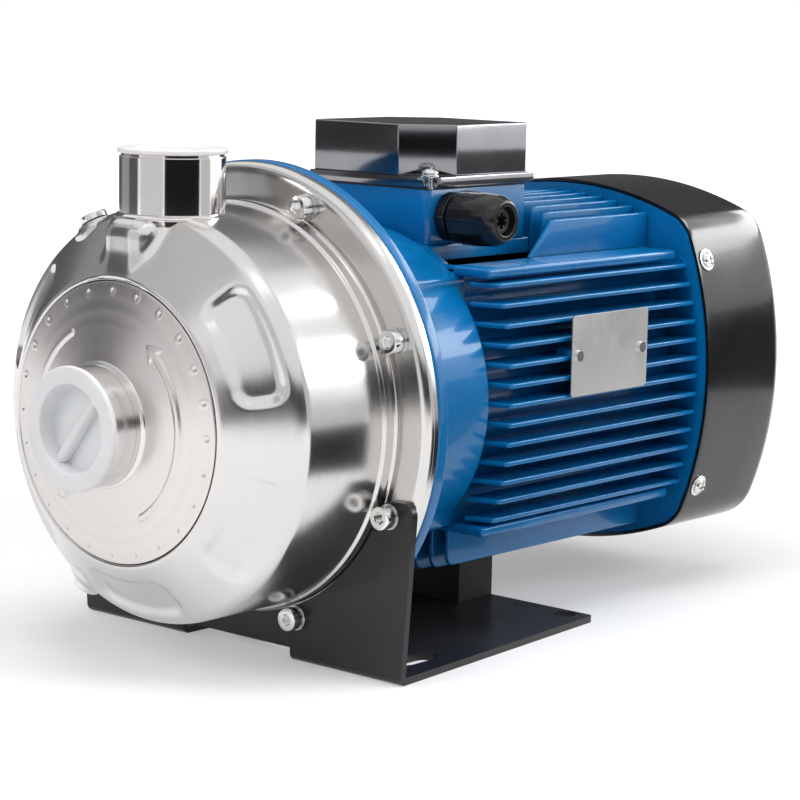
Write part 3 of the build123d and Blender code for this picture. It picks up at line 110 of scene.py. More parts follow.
class Finish(Nodes):
    # A material round one Principled shader; constants go straight on its sockets

    def __init__(self, name, **settings):
        self.material = bpy.data.materials.new(name)
        self.material.use_nodes = True
        super().__init__(self.material.node_tree)
        self.shader = self.tree.nodes["Principled BSDF"]
        for socket, value in settings.items():
            self.shader.inputs[socket.replace("_", " ")].default_value = value
        self.coords = self.node("ShaderNodeTexCoord", {}, {}, "Object")

    def drive(self, **wires):
        for socket, wire in wires.items():
            self.tree.links.new(wire.socket, self.shader.inputs[socket.replace("_", " ")])

    def noise(self, scale, detail, stretch=(1, 1, 1)):
        coords = self.coords
        if stretch != (1, 1, 1):
            coords = self.node("ShaderNodeMapping", {}, {"Vector": coords, "Scale": stretch})
        return self.node("ShaderNodeTexNoise", {}, {"Vector": coords, "Scale": scale, "Detail": detail})

    def between(self, mask, first, second):
        # Colour between two colours, by a mask from 0 to 1
        inputs = {"Factor": mask, 6: (*first, 1), 7: (*second, 1)}
        return self.node("ShaderNodeMix", {"data_type": "RGBA", "clamp_factor": True}, inputs, 2)

    def fit(self, value, low, high, newLow=0.0, newHigh=1.0):
        inputs = {"Value": value, "From Min": low, "From Max": high, "To Min": newLow, "To Max": newHigh}
        return self.node("ShaderNodeMapRange", {"clamp": True}, inputs)

    def bump(self, height, strength, distance):
        inputs = {"Height": height, "Strength": strength, "Distance": distance}
        self.drive(Normal=self.node("ShaderNodeBump", {}, inputs))

    def radiusFrom(self, centre, axis):
        # Distance from an axis, for turned rings
        parts = self.node("ShaderNodeSeparateXYZ", {}, {"Vector": self.coords}, 0)
        split = parts.socket.node
        total = None
        for index in range(3):
            if index == axis:
                continue
            offset = Wire(self, split.outputs[index]) - centre[index]
            total = offset * offset if total is None else total + offset * offset
        return total ** 0.5


def drawnSteel(name, base, low, high, grain):
    # Satin drawn sheet: soft clouds in the gloss and fine rubbed scratches
    finish = Finish(name, Metallic=1.0, Base_Color=(*base, 1), IOR=2.2)
    clouds = finish.noise(18, 4)
    rubbed = finish.noise(900, 2, (1, 0.12, 0.12))
    gloss = finish.fit(clouds * 0.6 + rubbed * 0.4, 0.3, 0.7, low, high)
    shade = finish.fit(clouds, 0.3, 0.7)
    finish.drive(Base_Color=finish.between(shade, [c * 0.93 for c in base], base), Roughness=gloss)
    finish.bump(rubbed + clouds * 0.5, grain, 0.0004)
    return finish.material


def turnedSteel(name, base, low, high, centre, axis, grain, pitch=2200):
    # Lathe-turned steel: fine rings round an axis
    finish = Finish(name, Metallic=1.0, Base_Color=(*base, 1), IOR=2.2)
    radius = finish.radiusFrom(centre, axis)
    inputs = {"W": radius, "Scale": pitch, "Detail": 2.0}
    rings = finish.node("ShaderNodeTexNoise", {"noise_dimensions": "1D"}, inputs)
    clouds = finish.noise(22, 3)
    gloss = finish.fit(rings * 0.5 + clouds * 0.5, 0.3, 0.7, low, high)
    shade = finish.fit(rings, 0.3, 0.7)
    finish.drive(Base_Color=finish.between(shade, [c * 0.96 for c in base], base), Roughness=gloss)
    finish.bump(rings, grain, 0.0002)
    return finish.material


def coated(finish, scale, detail, base, dark, low, high, peel):
    # Patches in colour and gloss, and a faint orange peel
    patches = finish.noise(scale, detail)
    peelNoise = finish.noise(420, 2)
    shade = finish.fit(patches, 0.35, 0.65)
    gloss = finish.fit(patches, 0.3, 0.7, low, high)
    finish.drive(Base_Color=finish.between(shade, dark, base), Roughness=gloss)
    finish.bump(peelNoise, peel, 0.0003)
    return finish.material


def paint(name, base, dark, rough, coat, peel):
    # Glossy paint
    finish = Finish(
        name, Base_Color=(*base, 1), Coat_Weight=coat, Coat_Roughness=0.06, Specular_IOR_Level=0.25,
    )
    return coated(finish, 35, 4, base, dark, rough * 0.85, rough * 1.2, peel)


def lacquer(name, base, dark, low, high, peel):
    # Dark metallic lacquer that mirrors the room softly
    finish = Finish(name, Metallic=1.0, Base_Color=(*base, 1), Coat_Weight=0.3, Coat_Roughness=0.1)
    return coated(finish, 30, 3, base, dark, low, high, peel)


def plastic(name, base, dark, low, high, grainScale, grain, **settings):
    # Moulded plastic or rubber with a fine spark-eroded grain
    finish = Finish(name, Base_Color=(*base, 1), IOR=1.48, **settings)
    grainNoise = finish.noise(grainScale, 3)
    clouds = finish.noise(30, 3)
    finish.drive(
        Base_Color=finish.between(finish.fit(clouds, 0.35, 0.65), dark, base),
        Roughness=finish.fit(clouds * 0.5 + grainNoise * 0.5, 0.3, 0.7, low, high),
    )
    finish.bump(grainNoise, grain, 0.0002)
    return finish.material


shaftCentre = (0, 0, layout["axisZ"])
finishes = {
    "drawn_steel": drawnSteel("casingSteel", (0.72, 0.705, 0.695), 0.17, 0.24, 0.03),
    "disc_steel": turnedSteel("discSteel", (0.73, 0.70, 0.69), 0.27, 0.33, shaftCentre, 0, 0.012, 260),
    "turned_steel": turnedSteel("portSteel", (0.76, 0.745, 0.735), 0.15, 0.21, shaftCentre, 0, 0.03),
    "machined_steel": turnedSteel("machinedSteel", (0.6, 0.6, 0.6), 0.2, 0.34, shaftCentre, 0, 0.1),
    "bolt_steel": drawnSteel("boltSteel", (0.8, 0.8, 0.79), 0.1, 0.2, 0.05),
    "cap_plastic": plastic(
        "capPlastic", (0.83, 0.83, 0.85), (0.78, 0.78, 0.8), 0.3, 0.42, 500, 0.05, Subsurface_Weight=0.3,
        Subsurface_Scale=0.003,
    ),
    "blue_paint": paint("bluePaint", (0.001, 0.16, 0.42), (0.001, 0.14, 0.37), 0.28, 0.4, 0.1),
    "black_paint": lacquer("blackPaint", (0.06, 0.058, 0.06), (0.05, 0.048, 0.05), 0.17, 0.25, 0.04),
    "lid_lacquer": lacquer("lidLacquer", (0.27, 0.27, 0.29), (0.23, 0.23, 0.25), 0.1, 0.16, 0.03),
    "base_paint": paint("basePaint", (0.026, 0.025, 0.026), (0.02, 0.019, 0.02), 0.32, 0.2, 0.08),
    "black_plastic": plastic(
        "blackPlastic", (0.012, 0.012, 0.013), (0.008, 0.008, 0.009), 0.14, 0.24, 800, 0.03,
    ),
    "grey_plastic": plastic("greyPlastic", (0.25, 0.25, 0.26), (0.2, 0.2, 0.21), 0.35, 0.5, 600, 0.1),
    "black_rubber": plastic("blackRubber", (0.02, 0.02, 0.021), (0.015, 0.015, 0.015), 0.5, 0.7, 500, 0.2),
    "seal_ceramic": plastic("sealCeramic", (0.78, 0.76, 0.72), (0.7, 0.68, 0.64), 0.2, 0.3, 400, 0.03),
    "silicon_iron": drawnSteel("coreIron", (0.3, 0.3, 0.31), 0.4, 0.6, 0.2),
    "copper": drawnSteel("copperWire", (0.75, 0.38, 0.2), 0.25, 0.4, 0.2),
    "brass": drawnSteel("brassParts", (0.78, 0.6, 0.28), 0.2, 0.35, 0.1),
    "aluminium": drawnSteel("plateAluminium", (0.74, 0.725, 0.71), 0.3, 0.42, 0.05),
}
for row in frame["record"]["subparts"]:
    mesh = frame["nodes"][row["node"]].data
    mesh.materials.clear()
    mesh.materials.append(finishes[row["material_slot"]])
print("finishes made")


# Modelling helpers

def newVerts(made):
    return [v for v in made["geom"] if isinstance(v, bmesh.types.BMVert)]


def newEdges(made):
    return [e for e in made["geom"] if isinstance(e, bmesh.types.BMEdge)]


def onCross(station):
    # Places flat outlines on a cross section of the shaft
    return lambda y, z: (station, y, z)


def onLevel(height):
    return lambda x, y: (x, y, height)


def onSide(y):
    return lambda x, z: (x, y, z)


def outlined(bm, corners, rounds, lift, steps=5):
    # A closed wire through the corners, with chosen corners rounded by the bevel operator
    ring = [bm.verts.new(lift(*corner)) for corner in corners]
    count = len(ring)
    for index in range(count):
        bm.edges.new((ring[index - 1], ring[index]))
    offsets = []
    for index, radius in enumerate(rounds or []):
        if radius:
            before = (ring[index - 1].co - ring[index].co).normalized()
            after = (ring[(index + 1) % count].co - ring[index].co).normalized()
            offsets.append((ring[index], radius / tan(before.angle(after) / 2)))
    for corner, offset in offsets:
        bmesh.ops.bevel(
            bm, geom=[corner], offset=offset, offset_type="OFFSET", segments=steps, profile=0.5,
            affect="VERTICES", clamp_overlap=False, material=-1,
        )


def turned(bm, corners, rounds=None, steps=128, turn=None, corner=5, spacing=None):
    # Spins a closed outline of (along, radius) corners about X, then turns it into place
    part = bmesh.new()
    outlined(part, corners, rounds, lambda along, radius: (along, 0, radius), corner)
    if spacing:
        for edge in part.edges[:]:
            cuts = int(edge.calc_length() / spacing)
            if cuts and max(v.co.z for v in edge.verts) > 0:
                bmesh.ops.subdivide_edges(part, edges=[edge], cuts=cuts)
    bmesh.ops.spin(
        part, geom=part.verts[:] + part.edges[:], cent=(0, 0, 0), axis=(1, 0, 0), angle=2 * pi, steps=steps,
        use_merge=True, use_duplicate=False,
    )
    bmesh.ops.remove_doubles(part, verts=part.verts, dist=0.0005)
    gather(bm, part, turn)


def slab(bm, corners, thickness, lift, way, rounds=None, bevel=0.0, segments=2, turn=None, sharp=25):
    # Extrudes a flat outline along a way, and bevels its sharp edges
    part = bmesh.new()
    outlined(part, corners, rounds, lift)
    bmesh.ops.contextual_create(part, geom=part.edges[:])
    made = bmesh.ops.extrude_face_region(part, geom=part.faces[:])
    bmesh.ops.translate(part, verts=newVerts(made), vec=Vector(way).normalized() * thickness)
    bmesh.ops.recalc_face_normals(part, faces=part.faces)
    if bevel:
        chamferSharp(part, bevel, segments, sharp)
    gather(bm, part, turn)


def chamferSharp(part, width, segments=2, sharp=25):
    edges = [e for e in part.edges if e.is_manifold and e.calc_face_angle(0) > radians(sharp)]
    bmesh.ops.bevel(
        part, geom=edges, offset=width, offset_type="OFFSET", segments=segments, profile=0.5,
        affect="EDGES", clamp_overlap=True, material=-1,
    )


def brick(bm, low, high, bevel=0.0, segments=2, turn=None):
    part = bmesh.new()
    bmesh.ops.create_cube(part, size=1)
    size = [b - a for a, b in zip(low, high)]
    middle = [(a + b) / 2 for a, b in zip(low, high)]
    bmesh.ops.scale(part, vec=size, verts=part.verts)
    bmesh.ops.translate(part, vec=middle, verts=part.verts)
    if bevel:
        chamferSharp(part, bevel, segments)
    gather(bm, part, turn)


def gather(bm, part, turn=None):
    # Adds a finished shape to the piece
    bmesh.ops.recalc_face_normals(part, faces=part.faces)
    if turn is not None:
        part.transform(turn)
    mesh = bpy.data.meshes.new("shape")
    part.to_mesh(mesh)
    part.free()
    bm.from_mesh(mesh)
    bpy.data.meshes.remove(mesh)


def addObject(name, bm, finish):
    mesh = bpy.data.meshes.new(name)
    bm.to_mesh(mesh)
    bm.free()
    mesh.materials.append(finish)
    made = bpy.data.objects.new(name, mesh)
    bpy.context.scene.collection.objects.link(made)
    return made


def finishPiece(name, bm, slotName, node, body="frame", finish=None, angle=32):
    # Turns a bmesh in millimetres into a piece that rides on its body and stands for a node
    bm.transform(place)
    piece = addObject(name, bm, finish or finishes[slotName])
    piece.data.shade_smooth()
    piece.data.set_sharp_from_angle(angle=radians(angle))
    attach(piece, body)
    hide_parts(node)
    return piece


def roundEdges(piece, width, sharp):
    edge = piece.modifiers.new("edge", "BEVEL")
    edge.width, edge.segments, edge.limit_method, edge.angle_limit = width, 2, "ANGLE", radians(sharp)
    return edge


def axisTurn(origin, way):
    # Matrix that carries the X axis onto a way at an origin
    return Matrix.Translation(origin) @ Vector(way).to_track_quat("X", "Z").to_matrix().to_4x4()


def outward(turn, distance):
    return turn @ Matrix.Translation((distance, 0, 0))


def smoothStep(value, low, high):
    share = min(1.0, max(0.0, (value - low) / (high - low)))
    return share * share * (3 - 2 * share)


# Pump casing: drawn dome with pressed pockets and a prow for the discharge port
casing = {
    "nose": (-94.0, 69.0), "crown": (-70.0, 99.5), "opening": 67.0, "sheet": 2.0, "flangeR": 119.0,
    "pocketR": (76.0, 94.5), "pocketHalf": 18.5, "pocketDepth": (1.9, 2.9), "pocketCorner": 8.0,
    "pocketWall": 5.2, "neckSpan": (-91.0, -30.0), "neckHalf": 14.5, "neckCorner": 9.0, "neckTop": 95.0,
    "neckRound": 4.0, "neckBlend": 5.0, "crownBlend": 5.0,
}
plugs = {
    "ventLean": 26.5, "drainLean": 28.8, "tilt": 8.0, "station": -63.63, "radius": 90.5, "rise": 9.5,
    "washer": 1.0, "headR": 6.8, "head": 3.0, "keyR": 3.2, "keyDepth": 2.0, "chamfer": 0.7,
}


def blended(first, second, blend):
    # Distance outside two merged shapes, with the groove between them filled
    share = max(blend - abs(first - second), 0) / blend
    return min(first, second) - share * share * blend / 4


def roundCorner(along, aside, radius):
    # Distance outside two walls that meet in a rounded corner
    along, aside = along + radius, aside + radius
    return hypot(max(along, 0), max(aside, 0)) + min(max(along, aside), 0) - radius


def domeDistance(station, radius):
    # Rough distance outside the rounded dome
    (noseX, noseR), (crownX, crownR) = casing["nose"], casing["crown"]
    lengthAlong = hypot(crownX - noseX, crownR - noseR)
    normalX, normalR = -(crownR - noseR) / lengthAlong, (crownX - noseX) / lengthAlong
    cone = (station - noseX) * normalX + (radius - noseR) * normalR
    return max(-blended(-cone, crownR - radius, casing["crownBlend"]), noseX - station)


def neckDistance(point):
    front, back = casing["neckSpan"]
    along = abs(point.x - (front + back) / 2) - (back - front) / 2
    across = roundCorner(along, abs(point.y) - casing["neckHalf"], casing["neckCorner"])
    return roundCorner(across, point.z - casing["neckTop"], casing["neckRound"])


def casingDistance(point):
    dome = domeDistance(point.x, hypot(point.y, point.z))
    return blended(dome, neckDistance(point), casing["neckBlend"])


def settle(point):
    # Moves a point onto the blended surface of dome and prow
    step = 0.2
    for _ in range(5):
        here = casingDistance(point)
        slope = Vector(
            casingDistance(point + Vector(axis) * step) - here for axis in ((1, 0, 0), (0, 1, 0), (0, 0, 1))
        ) / step
        size = slope.length_squared
        if size < 0.01:
            break
        point = point - slope * (here / max(size, 0.25))
    return point


def plugSeat(up):
    # Seat of the vent plug (up 1) or the drain plug (up -1), with X pointing out
    lean = radians(plugs["ventLean"] if up > 0 else plugs["drainLean"])
    tilt, radius = radians(plugs["tilt"]), plugs["radius"]
    way = Vector((-sin(tilt), cos(tilt) * sin(lean), up * cos(tilt) * cos(lean)))
    spot = Vector((plugs["station"], radius * sin(lean), up * radius * cos(lean))) + way * plugs["rise"]
    return axisTurn(spot, way)


def makeCasing():
    sheet, rim = casing["sheet"], casing["flangeR"]
    (noseX, noseR), (crownX, crownR) = casing["nose"], casing["crown"]
    corners = [
        (noseX, casing["opening"]), (noseX, noseR), (crownX, crownR), (-17.4, crownR),
        (-16.2, crownR + 1.4), (-11.8, crownR + 1.4), (-11.0, crownR), (-8.0, crownR), (-8.0, rim),
        (-3.0, rim), (-3.0, crownR - 5), (crownX + 3, crownR - 5), (noseX + 5, noseR - 4),
        (noseX + 5, casing["opening"] - 1), (noseX + sheet, casing["opening"]),
    ]
    rounds = [1.1, 4.0, 9.0, 0.8, 0.9, 0.9, 0.6, 2.0, 4.4, 0, 0, 0, 0, 0, 0]
    part = bmesh.new()
    turned(part, corners, rounds, steps=448, corner=6, spacing=1.5)
    way = Vector((crownX - noseX, crownR - noseR)).normalized()
    normal = Vector((-way.y, way.x))
    wall, corner = casing["pocketWall"], casing["pocketCorner"]
    innerR, outerR = casing["pocketR"]
    half = (outerR - innerR) / 2
    stretch = 1 / way.y
    halfAcross = radians(casing["pocketHalf"])
    for vert in part.verts:
        radius = hypot(vert.co.y, vert.co.z)
        if not (vert.co.x < crownX + 6 and radius > noseR - 2 and domeDistance(vert.co.x, radius) > -2):
            continue
        angle = atan2(vert.co.y, vert.co.z)
        turnOff = (angle + pi / 6) % (pi / 3) - pi / 6
        if abs(angle) < pi / 6:
            continue
        along = abs(radius - (innerR + outerR) / 2) * stretch - half * stretch
        aside = (abs(turnOff) - halfAcross) * radius
        edge = roundCorner(along, aside, corner)
        share = 1 - smoothStep(edge, -wall * 0.75, wall * 0.35)
        if share <= 0:
            continue
        depth = casing["pocketDepth"][0]
        depth += (casing["pocketDepth"][1] - depth) * smoothStep(radius, innerR, outerR)
        away = Vector((vert.co.y, vert.co.z)) / radius
        vert.co -= Vector((normal.x, away.x * normal.y, away.y * normal.y)) * (depth * share)
    # The prow: its vertices are relaxed and set back on the blended surface
    halfWide = casing["neckHalf"] + 2 * casing["neckBlend"]
    prow = [
        v for v in part.verts
        if v.co.z > 45 and abs(v.co.y) < halfWide and noseX + 0.1 < v.co.x < casing["neckSpan"][1]
        and domeDistance(v.co.x, hypot(v.co.y, v.co.z)) > -0.6
    ]
    before = [vert.co.copy() for vert in prow]
    for vert in prow:
        vert.co = settle(vert.co)
    for _ in range(18):
        bmesh.ops.smooth_vert(
            part, verts=prow, factor=0.5, use_axis_x=True, use_axis_y=True, use_axis_z=True,
        )
        for vert in prow:
            vert.co = settle(vert.co)
    for vert, old in zip(prow, before):
        vert.co = old.lerp(vert.co, 1 - smoothStep(abs(old.y), halfWide - 7, halfWide - 0.5))
    # Welded bosses for the vent and drain plugs
    for up in (1, -1):
        outline = [(-7, 0), (-7, 12.5), (-3.4, 12.3), (-1.2, 9.4), (0, 9.0), (0, 5.3), (-5, 5.3), (-5, 0)]
        turned(part, outline, [0, 0, 2.0, 1.8, 0.9, 0.4, 0, 0], 64, plugSeat(up))
    finishPiece("casingShell", part, "drawn_steel", "pump_casing", angle=50)
    print("casing made")


makeCasing()


# Front plate: shallow cone with weld dimples and two rotation arrows
frontPlate = {
    "rimR": 66.6, "boreR": 28.6, "hubR": 28.55, "rise": 8.7, "sheet": 2.0, "dimpleR": 62.5, "dimples": 24,
    "dimpleSize": 1.15, "dimpleDepth": 0.7, "arrowR": 47.5, "arrowHalf": 1.75, "arrowTail": 150.0,
    "arrowNeck": 43.0, "arrowTip": 34.0, "arrowHeadHalf": 4.8, "arrowRise": 1.05, "fine": 0.55,
}


def arrowEdge(turnAngle, radius):
    # Signed distance to the outline of one arrow, in the plane of the plate
    tail, neck, tip = frontPlate["arrowTail"], frontPlate["arrowNeck"], frontPlate["arrowTip"]
    middle = frontPlate["arrowR"]
    clamped = min(max(turnAngle, neck - 4), tail)
    band = hypot(radius - middle, radians(turnAngle - clamped) * middle) - frontPlate["arrowHalf"]
    alongHead = radians(turnAngle - tip) * middle
    lengthHead = radians(neck - tip) * middle
    halfHead = frontPlate["arrowHeadHalf"]
    slope = hypot(lengthHead, halfHead)
    side = (abs(radius - middle) * lengthHead - alongHead * halfHead) / slope
    head = max(side, alongHead - lengthHead)
    return min(band, head)


def makeFrontPlate():
    rim, bore, sheet = frontPlate["rimR"], frontPlate["boreR"], frontPlate["sheet"]
    noseX, opening = casing["nose"][0], casing["opening"]
    slope = frontPlate["rise"] / (opening - frontPlate["hubR"])
    station = lambda radius: noseX - (opening - radius) * slope
    # Bands of finer rings for the dimples and the arrows
    marks = [(60.8, 64.2), (41.5, 53.5)]
    radii = [rim]
    while radii[-1] > bore:
        here = radii[-1]
        fine = any(low <= here <= high for low, high in marks)
        radii.append(max(bore, here - (frontPlate["fine"] if fine else 1.4)))
    part = bmesh.new()
    corners = [(station(r), r) for r in radii]
    corners += [(station(bore) + sheet, bore), (station(rim) + sheet, rim)]
    rounds = [0.6] + [0] * (len(corners) - 1)
    turned(part, corners, rounds, steps=720, corner=3)
    for vert in part.verts:
        radius = hypot(vert.co.y, vert.co.z)
        if vert.co.x > station(radius) + 0.5:
            continue
        turnAngle = (atan2(-vert.co.y, vert.co.z) * 180 / pi) % 360
        pitch = 360 / frontPlate["dimples"]
        offTurn = (turnAngle + pitch / 2) % pitch - pitch / 2
        away = hypot(radius - frontPlate["dimpleR"], radians(offTurn) * radius)
        size = frontPlate["dimpleSize"]
        lift = 0.0
        if away < 2.4 * size:
            bowl = -frontPlate["dimpleDepth"] * (1 - smoothStep(away, 0, size))
            lift += bowl + 0.18 * (1 - smoothStep(abs(away - 1.25 * size), 0, 0.7 * size))
        for start in (0, 180):
            shifted = (turnAngle - start) % 360
            if 25 < shifted < 160 and abs(radius - frontPlate["arrowR"]) < 7:
                edge = arrowEdge(shifted, radius)
                lift += frontPlate["arrowRise"] * (1 - smoothStep(edge, -0.7, 0.1))
        vert.co.x -= lift
    finishPiece("frontDisc", part, "drawn_steel", "suction_plate", finish=finishes["disc_steel"], angle=60)
    print("front plate made")


makeFrontPlate()


# Ports: turned pipes with an inside thread, and a weld bead at the foot
ports = {
    "threadPitch": 2.31, "threadDepth": 1.2, "weld": 1.5, "weldFoot": -102.5, "dischargeX": -56.8,
    "suction": {
        "mouth": 119.0, "outerR": 28.5, "leadR": 24.6, "lead": 9.0, "threadR": 22.4, "threadEnd": 92.0,
        "back": 92.0,
    },
    "discharge": {
        "mouth": 124.9, "outerR": 25.2, "leadR": 21.3, "lead": 7.0, "threadR": 19.5, "threadEnd": 91.0,
        "back": 90.0,
    },
}


def threadedBore(port):
    # Inside outline of a port from its mouth inwards, with grooves of the pipe thread
    mouth, leadR, threadR = -port["mouth"], port["leadR"], port["threadR"]
    here = mouth + port["lead"]
    points = [(mouth, leadR), (here, leadR), (here, threadR)]
    pitch, depth = ports["threadPitch"], ports["threadDepth"]
    while here + pitch < -port["threadEnd"]:
        points += [(here + 0.3 * pitch, threadR), (here + 0.65 * pitch, threadR + depth)]
        points.append((here + pitch, threadR))
        here += pitch
    points.append((-port["back"], threadR))
    return points


def makePorts():
    part = bmesh.new()
    port = ports["suction"]
    outer = port["outerR"]
    corners = [(-port["mouth"], outer), *threadedBore(port), (-port["back"], outer), (-106.2, outer)]
    corners += [(-106.35, outer - 0.35), (-106.65, outer - 0.35), (-106.8, outer)]
    rounds = [0.8, 0.4] + [0] * (len(corners) - 2)
    turned(part, corners, rounds, steps=160)
    weld, foot = ports["weld"], ports["weldFoot"]
    bead = [
        (foot - weld, outer - 0.4), (foot - 0.2, outer + weld), (foot + 1.5, outer + weld + 0.6),
        (foot + 2.0, outer - 0.4),
    ]
    turned(part, bead, [0, 0.8, 0.5, 0], steps=160)
    finishPiece("suctionPipe", part, "turned_steel", "suction_port")

    part = bmesh.new()
    port = ports["discharge"]
    mouth, outer = port["mouth"], port["outerR"]
    up = axisTurn((ports["dischargeX"], 0, 0), (0, 0, 1))
    corners = [(-along, radius) for along, radius in threadedBore(port)]
    corners = [(mouth, outer - 0.9), *corners, (port["back"], outer), (123.3, outer), (123.5, outer - 0.9)]
    rounds = [0.3, 0.4] + [0] * (len(corners) - 4) + [0.3, 0]
    turned(part, corners, rounds, steps=160, turn=up)
    bead = [(94.4, outer - 0.4), (94.4, outer + 2.4), (95.6, outer + 2.2), (96.6, outer + 1.0)]
    bead.append((97.2, outer - 0.4))
    turned(part, bead, [0, 0.4, 0.8, 0.8, 0], steps=128, turn=up)
    centre = place @ Vector((ports["dischargeX"], 0, 0))
    tubeSteel = turnedSteel("dischargeSteel", (0.8, 0.78, 0.775), 0.09, 0.13, centre, 2, 0.01)
    finishPiece("dischargePipe", part, "turned_steel", "discharge_port", finish=tubeSteel)
    print("ports made")


makePorts()


# Caps: moulded cups with a finger bar
caps = {
    "rim": 2.6, "overhang": 0.9, "wall": 3.4, "floor": 1.6, "bar": 4.6,
    "suction": {"cupR": 24.3, "depth": 8.4, "barTurn": -38.0},
    "discharge": {"cupR": 21.0, "depth": 6.4, "barTurn": 38.0},
}


def makeCap(side, turn):
    part = bmesh.new()
    rim, wall = caps["rim"], caps["wall"]
    cupR, cupDepth = caps[side]["cupR"], caps[side]["depth"]
    outerR = ports[side]["outerR"] + caps["overhang"]
    corners = [
        (rim, outerR), (0, outerR), (0, cupR), (-cupDepth, cupR - 0.4), (-cupDepth, 0),
        (-cupDepth + caps["floor"], 0), (-cupDepth + caps["floor"], cupR - wall - 0.5),
        (rim, cupR - wall),
    ]
    turned(part, corners, [1.0, 0.5, 0, 0.8, 0, 0, 1.0, 1.0], steps=128, turn=turn)
    long, half = 2 * cupR - wall - 3, caps["bar"] / 2
    spin = Matrix.Rotation(radians(caps[side]["barTurn"]), 4, "X")
    brick(part, (-cupDepth + 0.3, -half, -long / 2), (-1.4, half, long / 2), 1.7, 5, turn @ spin)
    finishPiece(side + "CapMoulding", part, "cap_plastic", side + "_cap", side + "_cap")


makeCap("suction", axisTurn((-ports["suction"]["mouth"], 0, 0), (-1, 0, 0)))
makeCap("discharge", axisTurn((ports["dischargeX"], 0, ports["discharge"]["mouth"]), (0, 0, 1)))
print("caps made")


# Screws: socket heads, pan heads with cross recesses, washers
screws = {
    "bolts": 8, "boltR": 108.0, "boltHalf": 3.0, "boltEnd": 6.9, "headR": 5.6, "head": 4.8, "keyR": 3.2,
    "keyDepth": 2.8, "chamfer": 0.6, "washer": 1.2, "washerR": 6.2, "spring": 1.6, "springR": 5.4,
    "clearance": 0.1, "flangeFace": -8.0, "bracketFace": -11.5, "bracketTop": -34.0,
}


def socketHead(part, turn, sizes):
    # Round head with a hexagon socket, seated at the origin and rising along X
    headR, height, keyR, keyDepth, chamfer = (
        sizes[key] for key in ("headR", "head", "keyR", "keyDepth", "chamfer")
    )
    head = bmesh.new()
    bmesh.ops.create_circle(head, cap_ends=False, segments=48, radius=headR - chamfer)
    outer = head.edges[:]
    bmesh.ops.create_circle(head, cap_ends=False, segments=6, radius=keyR)
    inner = [e for e in head.edges if e not in set(outer)]
    bmesh.ops.subdivide_edges(head, edges=inner, cuts=7)
    inner = [e for e in head.edges if e not in set(outer)]
    for vert in {v for e in inner for v in e.verts}:
        vert.co.z = 0
    bmesh.ops.bridge_loops(head, edges=outer + inner)
    loose = [e for e in head.edges if e.is_boundary]
    rimLoop = [e for e in loose if all(hypot(v.co.x, v.co.y) > headR * 0.8 for v in e.verts)]
    keyLoop = [e for e in loose if e not in set(rimLoop)]
    rimMoves = [(0.7 * chamfer, 0.3 * chamfer), (0.3 * chamfer, chamfer), (0, height)]
    for edges, moves in ((rimLoop, rimMoves), (keyLoop, [(-0.3, 0.4), (0, keyDepth)])):
        for grow, sink in moves:
            made = bmesh.ops.extrude_edge_only(head, edges=edges)
            edges = newEdges(made)
            for vert in newVerts(made):
                radius = hypot(vert.co.x, vert.co.y)
                vert.co.x *= 1 + grow / radius
                vert.co.y *= 1 + grow / radius
                vert.co.z = -sink
        bmesh.ops.contextual_create(head, geom=edges)
    bmesh.ops.recalc_face_normals(head, faces=head.faces)
    gather(part, head, outward(turn, height) @ Matrix.Rotation(pi / 2, 4, "Y"))


def panHead(part, turn, headR, height):
    # Low domed head with a cross recess, seated at the origin and rising along X
    head = bmesh.new()
    corners = [(0, 0), (0, headR), (height * 0.4, headR), (height, headR * 0.62), (height, 0)]
    turned(head, corners, [0, 0.2, height * 0.5, height * 0.6, 0], 72, None, 5, headR * 0.06)
    arm, long, depth = headR * 0.12, headR * 0.6, height * 0.6
    for vert in head.verts:
        across, along = sorted((abs(vert.co.y), abs(vert.co.z)))
        if vert.co.x > height * 0.5 and across < arm and along < long:
            vert.co.x -= depth
    gather(part, head, turn)


def washerRing(part, turn, innerR, outerR, thickness, split=False):
    # Flat washer, or a split spring washer
    ring = bmesh.new()
    corners = [(0, innerR), (0, outerR), (thickness, outerR), (thickness, innerR)]
    turned(ring, corners, [0, 0.2, 0.25, 0], 48)
    if split:
        middles = [(f, f.calc_center_median()) for f in ring.faces]
        gap = [f for f, middle in middles if abs(middle.y) < 0.5 and middle.z > 0]
        bmesh.ops.delete(ring, geom=gap, context="FACES")
        bmesh.ops.holes_fill(ring, edges=[e for e in ring.edges if e.is_boundary], sides=0)
    gather(part, ring, turn)


